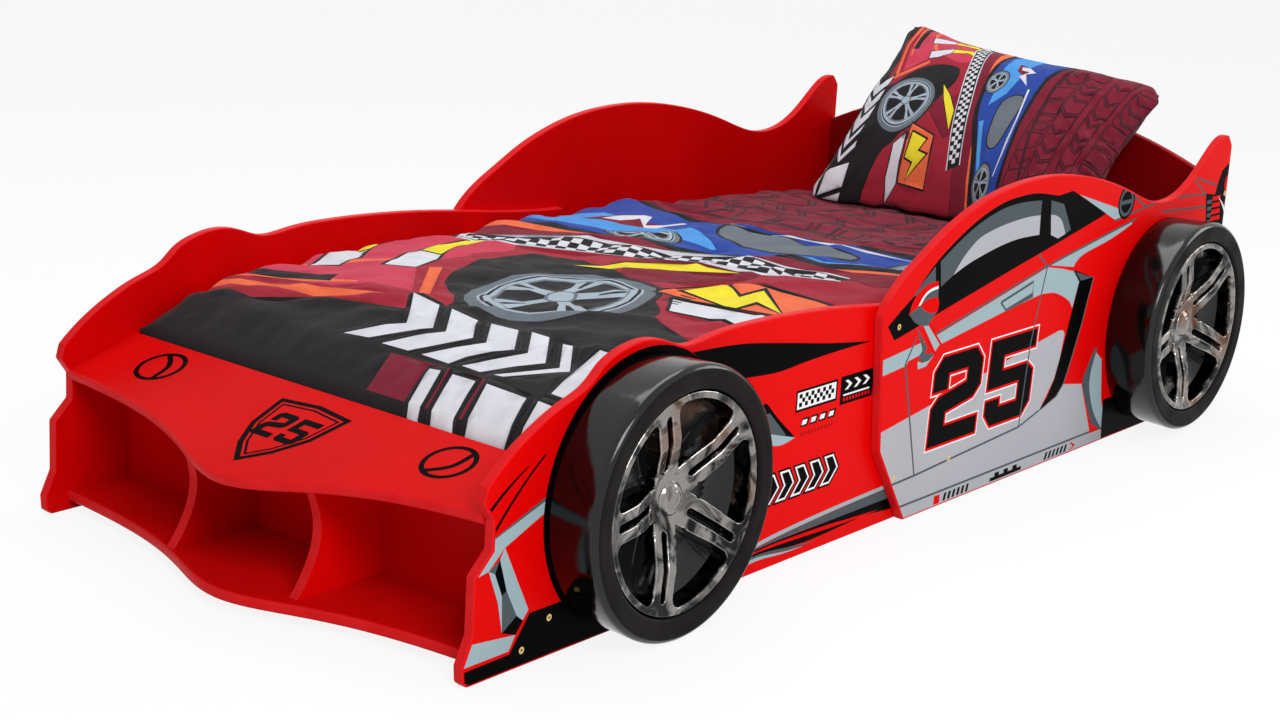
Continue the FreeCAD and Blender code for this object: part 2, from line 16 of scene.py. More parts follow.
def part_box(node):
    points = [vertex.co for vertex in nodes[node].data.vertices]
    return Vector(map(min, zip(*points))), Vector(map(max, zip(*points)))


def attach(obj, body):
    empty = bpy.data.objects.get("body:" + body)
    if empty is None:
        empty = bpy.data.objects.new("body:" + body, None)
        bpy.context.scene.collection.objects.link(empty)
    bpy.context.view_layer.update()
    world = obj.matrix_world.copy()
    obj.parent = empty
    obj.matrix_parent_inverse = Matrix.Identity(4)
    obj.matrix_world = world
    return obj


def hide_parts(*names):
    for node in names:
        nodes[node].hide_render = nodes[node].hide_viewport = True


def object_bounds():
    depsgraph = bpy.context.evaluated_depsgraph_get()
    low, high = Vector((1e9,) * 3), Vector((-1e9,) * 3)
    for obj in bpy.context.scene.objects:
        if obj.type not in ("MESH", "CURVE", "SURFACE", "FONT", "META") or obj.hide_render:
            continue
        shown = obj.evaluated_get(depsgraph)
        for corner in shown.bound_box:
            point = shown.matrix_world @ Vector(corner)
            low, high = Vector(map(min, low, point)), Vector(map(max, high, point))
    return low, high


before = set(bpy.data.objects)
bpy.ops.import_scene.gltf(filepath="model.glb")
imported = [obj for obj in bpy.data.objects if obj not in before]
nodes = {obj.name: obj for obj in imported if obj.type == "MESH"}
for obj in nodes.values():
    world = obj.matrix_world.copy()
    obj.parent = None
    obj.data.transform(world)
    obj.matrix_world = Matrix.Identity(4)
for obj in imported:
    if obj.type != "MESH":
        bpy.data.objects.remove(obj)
cad_low, cad_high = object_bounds()
MM = 0.001
NOSE_X = cad_low.x + 0.057       # the nose foot in the object's frame: the hood bulges this far past it
MIDDLE_Y = sum(corner.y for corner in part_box("headboard")) / 2      # the boards' middle
random.seed(7)                   # for the turns of the screws


def at(x, y, z):
    """A point given in millimetres from the nose foot and the boards' middle."""
    return Vector((NOSE_X + x * MM, MIDDLE_Y + y * MM, z * MM))


# ---- camera -------------------------------------------------------------------------------------
FRAME_WIDTH = 1280         # pixels
FOCAL_PIXELS = 2181.28
SENSOR = 36                # millimetres
HEADING = 0.7050525        # radians: turned from the bed's length, tipped down, rolled
PITCH = 0.2356141
ROLL = 0.0507513
AIM = (1075, 0, 300)       # millimetres: the point looked at, and where the camera stands from it
DISTANCE = 3984.08
ASIDE = 204.285
LIFT = 12.607
SHIFT = 0.05               # share of the picture's width that the view is moved aside and down


def linked(name, data):
    """A new object in the scene."""
    made = bpy.data.objects.new(name, data)
    bpy.context.scene.collection.objects.link(made)
    return made


def make_camera():
    """Camera in the place from which the photograph was taken."""
    forward = Vector((math.cos(HEADING) * math.cos(PITCH), math.sin(HEADING) * math.cos(PITCH),
                      -math.sin(PITCH)))
    level_right = Vector((math.sin(HEADING), -math.cos(HEADING), 0))
    level_up = level_right.cross(forward)
    right = level_right * math.cos(ROLL) + level_up * math.sin(ROLL)
    up = level_up * math.cos(ROLL) - level_right * math.sin(ROLL)
    eye = at(*AIM) - forward * DISTANCE * MM - level_right * ASIDE * MM - level_up * LIFT * MM
    data = bpy.data.cameras.new("camera")
    data.sensor_width = SENSOR
    data.lens = FOCAL_PIXELS / FRAME_WIDTH * data.sensor_width
    data.shift_x = SHIFT
    data.shift_y = -SHIFT
    camera = linked("camera", data)
    camera.matrix_world = Matrix.Translation(eye) @ Matrix((right, up, -forward)).transposed().to_4x4()
    bpy.context.scene.camera = camera


# ---- materials ----------------------------------------------------------------------------------
def linear(rgb):
    """Screen colour 0..255 to the linear values that the shader takes."""
    out = []
    for value in rgb:
        c = value / 255
        out.append(c / 12.92 if c <= 0.04045 else ((c + 0.055) / 1.055) ** 2.4)
    return (*out, 1.0)


class Kit:
    """Adds nodes to a shader tree."""

    def __init__(self, tree):
        self.tree = tree

    def node(self, kind, **inputs):
        """A new node with its inputs set or linked by name."""
        made = self.tree.nodes.new(kind)
        for key, value in inputs.items():
            self.feed(made.inputs[key.replace("_", " ")], value)
        return made

    def feed(self, socket, value):
        """Link an output to a socket, or set a plain value on it."""
        if isinstance(value, bpy.types.NodeSocket):
            self.tree.links.new(value, socket)
        else:
            socket.default_value = value

    def math(self, kind, a, b=0.5):
        made = self.tree.nodes.new("ShaderNodeMath")
        made.operation = kind
        self.feed(made.inputs[0], a)
        self.feed(made.inputs[1], b)
        return made.outputs[0]

    def span(self, value, low, high, to_low=0.0, to_high=1.0):
        """The value's range from low to high stretched to another range, held at its ends."""
        return self.node("ShaderNodeMapRange", Value=value, From_Min=low, From_Max=high, To_Min=to_low,
                         To_Max=to_high).outputs["Result"]

    def mix(self, share, first, second, kind="MIX"):
        """Two colours mixed, the second with a share."""
        made = self.tree.nodes.new("ShaderNodeMix")
        made.data_type = "RGBA"
        made.blend_type = kind
        for number, value in ((0, share), (6, first), (7, second)):
            self.feed(made.inputs[number], value)
        return made.outputs[2]


class Paint(Kit):
    """A material built up node by node round one Principled shader."""

    def __init__(self, name, **sockets):
        self.material = bpy.data.materials.new(name)
        self.material.use_nodes = True
        super().__init__(self.material.node_tree)
        self.shader = self.tree.nodes["Principled BSDF"]
        for key, value in sockets.items():
            self.feed(self.shader.inputs[key.replace("_", " ")], value)
        self.coords = self.node("ShaderNodeTexCoord").outputs["Object"]

    def noise(self, scale, detail, stretch=None, rough=0.5):
        """Noise in the piece's own coordinates, scale being its waves a metre."""
        coords = self.coords
        if stretch:
            coords = self.node("ShaderNodeMapping", Vector=coords, Scale=stretch).outputs["Vector"]
        return self.node("ShaderNodeTexNoise", Vector=coords, Scale=scale, Detail=detail,
                         Roughness=rough).outputs["Fac"]

    def colour(self, value):
        self.feed(self.shader.inputs["Base Color"], value)

    def vary(self, base, scale, amount):
        """The base colour, a little lighter and darker in patches."""
        shade = self.span(self.noise(scale, 3.0), 0.3, 0.7, 1 - amount, 1 + amount)
        grey = self.node("ShaderNodeCombineColor", Red=shade, Green=shade, Blue=shade)
        self.colour(self.mix(1.0, base, grey.outputs[0], "MULTIPLY"))

    def bump(self, height, distance, strength=1.0):
        """Add a bump over the ones before it."""
        made = self.node("ShaderNodeBump", Height=height, Distance=distance, Strength=strength)
        link = self.shader.inputs["Normal"].links
        if link:
            self.feed(made.inputs["Normal"], link[0].from_socket)
        self.feed(self.shader.inputs["Normal"], made.outputs["Normal"])

    def roughness(self, low, high, scale):
        """Roughness that changes in patches."""
        self.feed(self.shader.inputs["Roughness"], self.span(self.noise(scale, 4.0), 0.3, 0.7, low, high))


def lacquer(name, face, edge, flat_axis, outside=None):
    """Sprayed board: faint orange peel, a paler red painted on its sawn edges in patches as a highlight, and
    its own red outside.
    """
    paint = Paint(name, Specular_IOR_Level=0.028)
    split = paint.node("ShaderNodeSeparateXYZ",
                       Vector=paint.node("ShaderNodeTexCoord").outputs["Normal"])
    facing = paint.math("ABSOLUTE", split.outputs[flat_axis])
    rim = paint.span(facing, 0.97, 0.7)
    shade = paint.span(paint.noise(5.0, 3.0), 0.3, 0.7, 0.0, 1.0)
    tone = paint.mix(shade, linear(face), linear([c * 0.95 for c in face]))
    if outside:
        place = paint.node("ShaderNodeSeparateXYZ", Vector=paint.coords)
        outward = paint.math("MULTIPLY", split.outputs["Y"], place.outputs["Y"])
        tone = paint.mix(paint.span(outward, 0.0, 0.1), tone, linear(outside))
    # painted highlight: on the rounded edges the red is mixed, in patches, towards the paler edge red,
    # standing in for light caught there
    edge_highlight_patches = paint.span(paint.noise(26.0, 4.0), 0.35, 0.65, 0.6, 0.95)
    paint.colour(paint.mix(paint.math("MULTIPLY", rim, edge_highlight_patches), tone, linear(edge)))
    paint.bump(paint.noise(300.0, 1.0), 0.00002)
    paint.roughness(0.3, 0.4, 30.0)
    return paint.material


def printed_film(name, rgb):
    """A printed colour with a trace of unevenness."""
    paint = Paint(name, Roughness=0.3, Specular_IOR_Level=0.012)
    paint.vary(linear(rgb), 12.0, 0.02)
    paint.bump(paint.noise(380.0, 2.0), 0.00003)
    return paint.material


def metal(name, rgb, rough):
    """Plated screw metal with a fine grain."""
    paint = Paint(name, Metallic=1.0)
    paint.vary(linear(rgb), 30.0, 0.05)
    paint.roughness(rough * 0.6, rough * 1.5, 50.0)
    paint.bump(paint.noise(90.0, 3.0), 0.00002)
    return paint.material


def bare_wood(name, rgb, dark):
    """Planed softwood with long grain and growth lines."""
    paint = Paint(name, Roughness=0.6)
    stretch = (18.0, 1.6, 18.0)
    grain = paint.noise(6.0, 6.0, stretch, 0.6)
    fine = paint.noise(40.0, 3.0, stretch)
    tone = paint.mix(paint.span(grain, 0.42, 0.62), linear(rgb), linear(dark))
    paint.colour(paint.mix(paint.span(fine, 0.35, 0.65, 0.0, 0.25), tone, linear(dark)))
    paint.bump(fine, 0.00025)
    return paint.material


def gloss_black(name, rgb, rough, shine):
    """Formed plastic sheet: gloss, faint waves, rubbed patches."""
    paint = Paint(name, Specular_IOR_Level=shine)
    paint.vary(linear(rgb), 14.0, 0.25)
    paint.roughness(rough * 0.7, rough * 1.5, 16.0)
    paint.bump(paint.noise(22.0, 2.0), 0.0006)
    paint.bump(paint.noise(500.0, 2.0), 0.00005)
    return paint.material


def chrome_painted_reflections(name):
    """Vacuum-metallised plastic: wavy, with dark and pale patches and warm brown patches painted in as
    reflections, and a highlight painted along its sharp edges.
    """
    paint = Paint(name, Metallic=1.0)
    # painted reflections: patches between a dark and a pale tone of the metal
    patches = paint.node("ShaderNodeTexNoise", Vector=paint.coords, Scale=17.0, Detail=3.0,
                         Distortion=1.6).outputs["Fac"]
    painted_reflection_share = paint.span(patches, 0.42, 0.58)
    tone = paint.mix(painted_reflection_share, linear((36, 35, 35)), linear((142, 139, 136)))
    # painted reflection of warm brown surroundings, in patches
    painted_warm_reflection = paint.span(paint.noise(9.0, 2.0), 0.56, 0.68, 0.0, 0.55)
    tone = paint.mix(painted_warm_reflection, tone, linear((128, 88, 62)))
    # painted highlight along the sharp edges
    edge = paint.node("ShaderNodeNewGeometry").outputs["Pointiness"]
    painted_edge_highlight = paint.span(edge, 0.52, 0.6)
    paint.colour(paint.mix(painted_edge_highlight, tone, linear((226, 224, 221))))
    paint.roughness(0.06, 0.16, 24.0)
    paint.bump(paint.noise(26.0, 3.0), 0.003)
    return paint.material


def woven(name, rgb, scale):
    """Plain woven cloth: crossed threads and a little sheen."""
    paint = Paint(name, Roughness=0.85, Sheen_Weight=0.3)
    add_weave(paint, scale)
    paint.vary(linear(rgb), 70.0, 0.06)
    return paint.material


def add_weave(paint, scale):
    """Bump of crossed threads, scale being radians a metre."""
    split = paint.node("ShaderNodeSeparateXYZ", Vector=paint.coords)
    warp = paint.math("SINE", paint.math("MULTIPLY", split.outputs["X"], scale))
    weft = paint.math("SINE", paint.math("MULTIPLY", split.outputs["Y"], scale))
    paint.bump(paint.math("MULTIPLY", warp, weft), 0.00012, 0.6)
    paint.bump(paint.noise(1200.0, 2.0), 0.0001, 0.5)


RED = (226, 3, 3)
DEEP_RED = (206, 2, 4)
HOOD_RED = (208, 8, 9)
# paler red painted on the boards' edges as a highlight
EDGE_HIGHLIGHT_RED = (214, 34, 38)
INK = {
    "black": (3, 3, 4),
    "slate": (80, 90, 95),
    "mist": (158, 181, 187),
    "silver": (177, 179, 185),
    "white": (236, 238, 240),
    "red": RED,
    "brick": (150, 12, 18),
}
M = {
    "red_side": lacquer("red_lacquer_side", DEEP_RED, EDGE_HIGHLIGHT_RED, "Y", RED),
    "red_end": lacquer("red_lacquer_end", DEEP_RED, EDGE_HIGHLIGHT_RED, "X"),
    # the headboard's red and its edge red are painted darker all over, standing in for the shade behind the
    # pillow
    "red_head_painted_shade": lacquer("red_lacquer_head_painted_shade", (132, 4, 10), (160, 22, 28), "X"),
    "red_shelf": lacquer("red_lacquer_shelf", HOOD_RED, EDGE_HIGHLIGHT_RED, "Z"),
    "wood": bare_wood("planed_pine", (206, 170, 120), (170, 126, 78)),
    "webbing": woven("webbing_tape", (222, 220, 212), 2400.0),
    "tyre": gloss_black("tyre_gloss", (7, 6, 6), 0.1, 0.4),
    "wall": gloss_black("tyre_side", (27, 25, 24), 0.48, 0.04),
    "chrome": chrome_painted_reflections("chrome_painted_reflections"),
    # dark gloss painted into the rim's slots and openings as shade
    "dish": gloss_black("wheel_recess_painted_shade", (20, 20, 21), 0.2, 0.35),
    "brass": metal("screw_yellow", (226, 196, 128), 0.28),
    "steel": metal("screw_zinc", (190, 192, 196), 0.3),
    # darker, browner metal for the screws' cross recess: painted shade
    "recess": metal("screw_recess_painted_shade", (96, 78, 44), 0.4),
    "ticking": woven("mattress_ticking", (222, 221, 214), 2600.0),
}
for ink_name, ink_rgb in INK.items():
    M["ink_" + ink_name] = printed_film("film_" + ink_name, ink_rgb)


def dress(node, *materials):
    """Give a piece of the CAD its material."""
    mesh = nodes[node].data
    mesh.materials.clear()
    for material in materials:
        mesh.materials.append(material)


for name in nodes:
    if "side_board" in name or name.startswith("nose_divider"):
        dress(name, M["red_side"])
    elif name == "footboard":
        dress(name, M["red_end"])
    elif name == "headboard":
        dress(name, M["red_head_painted_shade"])
    elif name in ("hood_board", "nose_floor"):
        dress(name, M["red_shelf"])
    elif name.startswith("slat_strap"):
        dress(name, M["webbing"])
    elif name.startswith(("slat_", "rail_packer", "foot_cleat", "head_cleat", "wheel_block")):
        dress(name, M["wood"])
    elif name.endswith("dowels"):
        dress(name, M["wood"])
    elif name in ("rail_screws", "wheel_screws"):
        dress(name, M["steel"])


# ---- mesh helpers -------------------------------------------------------------------------------
def new_object(name, mesh, body, *materials, slot=None):
    """A mesh as a piece that rides on a body."""
    piece = linked(name, mesh)
    for material in materials:
        mesh.materials.append(material)
    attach(piece, body)
    return piece


def mesh_from(name, points, faces):
    """A smoothly shaded mesh."""
    mesh = bpy.data.meshes.new(name)
    mesh.from_pydata([tuple(p) for p in points], [], faces)
    mesh.shade_smooth()
    mesh.update()
    return mesh


@contextmanager
def opened(mesh):
    """The mesh as a bmesh, written back at the end."""
    work = bmesh.new()
    work.from_mesh(mesh)
    yield work
    work.to_mesh(mesh)
    work.free()
    mesh.update()


def fix_normals(mesh):
    """Turn all faces outwards."""
    with opened(mesh) as work:
        bmesh.ops.recalc_face_normals(work, faces=work.faces)


def ring_quads(rings, per, closed=False):
    """Faces between rings of points, each ring of per points, the last joined to the first if closed."""
    quads = []
    for i in range(rings if closed else rings - 1):
        for j in range(per):
            n, k = (i + 1) % rings, (j + 1) % per
            quads.append((i * per + j, n * per + j, n * per + k, i * per + k))
    return quads


def merge_points(mesh, distance):
    """Join points that lie closer than a distance."""
    with opened(mesh) as work:
        bmesh.ops.remove_doubles(work, verts=work.verts, dist=distance)
        bmesh.ops.dissolve_degenerate(work, edges=work.edges, dist=1e-6)


# ---- drawings -----------------------------------------------------------------------------------
def curve(points, steps=4, closed=False):
    """Smooth curve through the points, each span in a number of steps."""
    count = len(points)
    out = []
    spans = count if closed else count - 1
    for i in range(spans):
        quad = []
        for k in (-1, 0, 1, 2):
            j = (i + k) % count if closed else min(max(i + k, 0), count - 1)
            quad.append(np.array(points[j], float))
        a, b, c, d = quad
        for s in range(steps):
            t = s / steps
            p = 0.5 * (2 * b + (c - a) * t + (2 * a - 5 * b + 4 * c - d) * t * t
                       + (3 * b - a - 3 * c + d) * t ** 3)
            out.append((float(p[0]), float(p[1])))
    if not closed:
        out.append(tuple(points[-1]))
    return out


def band(points, width, end_width=None):
    """A stripe of a width along a line of points, tapering where an end width is given."""
    line = [Vector(p) for p in points]
    end_width = width if end_width is None else end_width
    left, right = [], []
    for i, p in enumerate(line):
        ahead = line[min(i + 1, len(line) - 1)]
        behind = line[max(i - 1, 0)]
        along = (ahead - behind).normalized()
        side = Vector((-along.y, along.x))
        if 0 < i < len(line) - 1:
            first = (p - behind).normalized()
            side = side / max(0.5, side.dot(Vector((-first.y, first.x))))
        half = (width + (end_width - width) * i / (len(line) - 1)) / 2
        left.append(tuple(p + side * half))
        right.append(tuple(p - side * half))
    return left + right[::-1]


def disc(x, y, rx, ry=None, steps=40):
    """A circle, or an ellipse where ry is given."""
    ry = rx if ry is None else ry
    return [(x + rx * math.cos(2 * math.pi * i / steps), y + ry * math.sin(2 * math.pi * i / steps))
            for i in range(steps)]


def block(x0, y0, x1, y1, lean=0.0):
    """Box from (x0, y0) to (x1, y1), its top pushed sideways by lean."""
    return [(x0, y0), (x1, y0), (x1 + lean, y1), (x0 + lean, y1)]


def grown(points, amount):
    """The outline moved outwards by an amount (inwards if negative)."""
    line = [Vector(p) for p in points]
    area = sum(a.cross(b) for a, b in zip(line, line[1:] + line[:1]))
    sign = 1 if area > 0 else -1
    out = []
    for i, p in enumerate(line):
        before = (p - line[i - 1])
        after = (line[(i + 1) % len(line)] - p)
        if before.length < 1e-6 or after.length < 1e-6:
            out.append(tuple(p))
            continue
        n1 = Vector((before.y, -before.x)).normalized()
        n2 = Vector((after.y, -after.x)).normalized()
        n = (n1 + n2)
        n = n / max(0.3, n.length_squared / 2) if n.length > 1e-6 else n1
        out.append(tuple(p + n * amount * sign))
    return out


def tidy_outline(outline):
    """The outline without repeated points."""
    kept = []
    for p in outline:
        if not kept or math.hypot(p[0] - kept[-1][0], p[1] - kept[-1][1]) > 0.05:
            kept.append((p[0], p[1]))
    if math.hypot(kept[0][0] - kept[-1][0], kept[0][1] - kept[-1][1]) < 0.05:
        kept.pop()
    return kept


def covered(outline, spots):
    """Which spots lie in the outline, by its winding round them."""
    low, high = np.min(outline, axis=0), np.max(outline, axis=0)
    near = np.flatnonzero(np.all((spots > low) & (spots < high), axis=1))
    x, y = spots[near, 0], spots[near, 1]
    turns = np.zeros(len(near), int)
    for (x0, y0), (x1, y1) in zip(outline, outline[1:] + outline[:1]):
        side = (x1 - x0) * (y - y0) - (x - x0) * (y1 - y0)
        turns += ((y0 <= y) & (y1 > y) & (side > 0)).astype(int)
        turns -= ((y0 > y) & (y1 <= y) & (side < 0)).astype(int)
    inside = np.zeros(len(spots), bool)
    inside[near[turns != 0]] = True
    return inside


def cut_sheet(layers, clip, extra=()):
    """Triangles of a flat sheet cut along painted layers: points, triangles and each one's ink."""
    points, edges = [], []
    outlines = [tidy_outline(outline) for _, outline in [("clip", clip)] + layers]
    for outline in outlines:
        first, count = len(points), len(outline)
        edges += [(first + i, first + (i + 1) % count) for i in range(count)]
        points += [Vector(p) for p in outline]
    points += [Vector(p) for p in extra]
    out = geometry.delaunay_2d_cdt(points, edges, [], 0, 1e-3)
    flat = np.array([tuple(p) for p in out[0]])
    corners = np.array([list(face) for face in out[2]])
    spots = flat[corners].mean(axis=1)
    a, b, c = (flat[corners[:, k]] for k in range(3))
    size = np.abs((b - a)[:, 0] * (c - a)[:, 1] - (b - a)[:, 1] * (c - a)[:, 0])
    top = np.full(len(spots), -1)
    for number, outline in enumerate(outlines[1:]):
        top[covered(outline, spots)] = number
    kept = covered(outlines[0], spots) & (size > 1e-6)
    inks = [layers[n][0] if n >= 0 else "clip" for n in top[kept]]
    used, numbers = np.unique(corners[kept], return_inverse=True)
    return flat[used], numbers.reshape(-1, 3).tolist(), inks


def film_mesh(name, layers, clip, where):
    """One flat mesh from painted layers, the later ones on top, cut to the clip outline.

    The flat triangles of one colour are joined into larger faces.
    """
    points, faces, inks = cut_sheet(layers, clip)
    names = sorted(set(inks) - {"clip", "none"})
    kept = [(face, names.index(ink)) for face, ink in zip(faces, inks) if ink in names]
    used = sorted({v for face, _ in kept for v in face})
    place = {v: i for i, v in enumerate(used)}
    mesh = bpy.data.meshes.new(name)
    mesh.from_pydata([where(*points[v]) for v in used], [],
                     [[place[v] for v in face] for face, _ in kept])
    mesh.polygons.foreach_set("material_index", [ink for _, ink in kept])
    mesh.update()
    for ink in names:
        mesh.materials.append(M["ink_" + ink])
    with opened(mesh) as work:
        bmesh.ops.dissolve_limit(work, angle_limit=0.001, verts=work.verts, edges=work.edges,
                                 delimit={"MATERIAL"})
    return mesh


# ---- racing numbers -----------------------------------------------------------------------------
def numeral(figure, x, y, width, height, lean):
    """Outlines of a plain block figure with cut corners."""
    w, h = width, height
    t = 0.30 * w
    e = 0.2 * h
    shapes = {
        2: [[(0, h * .62), (0, h - t * .5), (t * .5, h), (w - t * .5, h), (w, h - t * .5), (w, h * .56),
             (w - t * .45, h * .44), (t, h * .36), (t, e), (w, e), (w, 0), (0, 0), (0, h * .44),
             (t * .45, h * .55), (w - t, h * .64), (w - t, h - e), (t, h - e), (t, h * .62)]],
        5: [[(w, h), (0, h), (0, h * .44), (w - t, h * .44), (w - t, e), (t, e), (t, h * .3), (0, h * .3),
             (0, t * .5), (t * .5, 0), (w - t * .5, 0), (w, t * .5), (w, h * .52), (w - t * .5, h * .62),
             (t, h * .62), (t, h - e), (w, h - e)]],
    }
    return [[(x + px + lean * py / h, y + py) for px, py in outline] for outline in shapes[figure]]


# ---- printed film -------------------------------------------------------------------------------
BOARD_EDGE = 3.6           # the film stops this short of the board's outline, where the edge is rounded


def front_outline():
    """The flat part of a front side board's outer face, as far as the film goes."""
    nose = [(12, 0), (2, 8), (0, 32), (19, 72), (19, 156), (52, 188), (52, 230), (32, 258), (38, 280)]
    top = curve([(38, 280), (78, 313), (130, 344), (189, 369), (243, 390), (268, 410), (310, 427),
                 (360, 433), (408, 424), (450, 410), (520, 413), (620, 417), (760, 412),
                 (890, 401), (1070, 379), (1100, 375)])
    return grown(nose[:-1] + top + [(1100, 0)], -BOARD_EDGE)


def rear_outline():
    """The flat part of a rear side board's outer face."""
    door = [(1069, 0), (976, 140), (953, 376)]
    top = curve([(953, 376), (1010, 430), (1072, 464), (1140, 498), (1210, 524), (1290, 544),
                 (1385, 555), (1480, 556), (1590, 545), (1690, 525), (1800, 492), (1885, 464),
                 (1945, 456), (2012, 465), (2062, 486), (2104, 514), (2142, 542), (2176, 560),
                 (2206, 563)])
    tail = [(2224, 541), (2224, 96), (2202, 58), (2202, 0)]
    return grown(door[:-1] + top + tail, -BOARD_EDGE)


def front_layers():
    """Nose facets, wheel arch, swoosh, vent, low stripes and stickers."""
    return [
        ("slate", [(53, 205), (168, 246), (170, 230), (60, 190)]),
        ("mist", [(20, 156), (45, 160), (76, 187), (168, 224), (168, 240), (53, 203), (53, 188)]),
        ("mist", [(45, 160), (58, 153), (74, 117), (77, 62), (66, 110)]),
        ("slate", [(45, 160), (68, 172), (58, 153)]),
        ("slate", [(68, 172), (76, 187), (58, 153)]),
        ("black", [(67, 172), (58, 153), (74, 117), (83, 123)]),
        ("mist", [(76, 187), (67, 172), (83, 123), (106, 80), (119, 70), (130, 83)]),
        ("slate", [(74, 117), (83, 123), (106, 80), (77, 62)]),
        ("black", [(77, 62), (106, 80), (120, 69), (105, 52)]),
        ("mist", [(16, 62), (105, 52), (92, 31), (0, 31)]),
        ("black", [(0, 0), (0, 25), (94, 26), (133, 77), (300, 77), (300, 0)]),
        ("black", curve([(40, 247), (62, 264), (89, 281), (118, 296)], 5)
         + curve([(118, 294), (90, 277), (64, 259), (42, 241)], 5)),
        ("black", curve([(49, 212), (75, 241), (113, 277), (150, 306)], 5)
         + curve([(152, 303), (116, 274), (78, 237), (51, 207)], 5)),
        ("black", disc(366, 209, 213, steps=60)),
        ("black", [(130, 0), (136, 77), (372, 77), (590, 77), (612, 44), (600, 0)]),
        ("black", curve([(470, 396), (586, 389), (700, 372), (830, 350), (948, 334)])
         + curve([(948, 333), (860, 333), (767, 330), (690, 326), (600, 332), (560, 330)])),
        ("black", [(640, 284), (669, 279), (700, 250), (752, 208), (735, 205), (690, 215), (650, 240)]),
        ("slate", [(652, 264), (678, 262), (726, 217), (704, 217), (664, 236)]),
        ("mist", curve([(752, 208), (722, 203), (693, 206), (655, 226)]) + [(655, 236), (700, 222)]),
        ("black", [(747, 249), (747, 285), (862, 285), (862, 249)]),
        ("white", [(751, 253), (751, 281), (858, 281), (858, 253)]),
        ("black", [(872, 238), (872, 286), (966, 286), (966, 238)]),
        *low_stripes(),
        *stickers(),
    ]


def low_stripes():
    """The stripes that run low from the front wheel to the door."""
    def stripe(colour, top, bottom):
        return (colour, curve(top) + curve(bottom)[::-1])
    return [
        stripe("mist", [(600, 36), (681, 52), (850, 62), (1031, 67), (1100, 68)],
               [(600, 30), (681, 45), (850, 55), (1031, 60), (1100, 60)]),
        stripe("slate", [(640, 40), (760, 50), (900, 56), (1040, 60), (1100, 60)],
               [(640, 38), (760, 42), (900, 41), (1040, 41), (1100, 41)]),
        stripe("black", [(600, 34), (700, 41), (881, 41), (1048, 41), (1100, 41)],
               [(600, 30), (700, 37), (881, 34), (1048, 20), (1100, 18)]),
        stripe("red", [(600, 30), (700, 38), (860, 34), (1011, 27)],
               [(600, 27), (700, 33), (860, 29), (1011, 26)]),
        stripe("black", [(600, 27), (678, 34), (860, 28), (952, 26)],
               [(600, 22), (678, 29), (800, 20), (952, 25)]),
        stripe("slate", [(600, 24), (674, 30), (760, 22), (831, 15)],
               [(600, 19), (674, 25), (760, 17), (831, 15)]),
        stripe("mist", [(600, 20), (668, 26), (740, 18), (800, 14)],
               [(600, 14), (668, 20), (740, 15), (800, 14)]),
    ]


def stickers():
    """Plain chequers, bars and chevrons where a racing car carries its stickers."""
    out = []
    for row in range(3):
        for col in range(row % 2, 12, 2):
            x, z = 756 + col * 8.1, 256.5 + row * 7.2
            out.append(("black", block(x, z, x + 8.1, z + 7.2)))
    for i in range(3):
        x = 884 + i * 26
        out.append(("white", [(x, 262), (x + 12, 270), (x, 278), (x + 9, 278), (x + 21, 270), (x + 9, 262)]))
    out += [("red", block(881 + i * 9, 243, 886 + i * 9, 249)) for i in range(9)]
    out.append(("white", block(881, 252, 957, 255)))
    for x in range(764, 840, 25):
        out += [("black", block(x, 222, x + 20, 236, 5)), ("white", block(x + 3, 225, x + 16, 233, 3))]
    out += [("brick", block(766 + i * 9.4, 207, 770 + i * 9.4, 213, 2)) for i in range(10)]
    for x in range(668, 833, 41):
        chevron = [(x, 108), (x + 22, 132), (x + 8, 157), (x + 34, 157), (x + 50, 132), (x + 27, 108)]
        out += [("black", grown(chevron, 3.5)), ("white", chevron), ("black", grown(chevron, -3.5))]
    return out


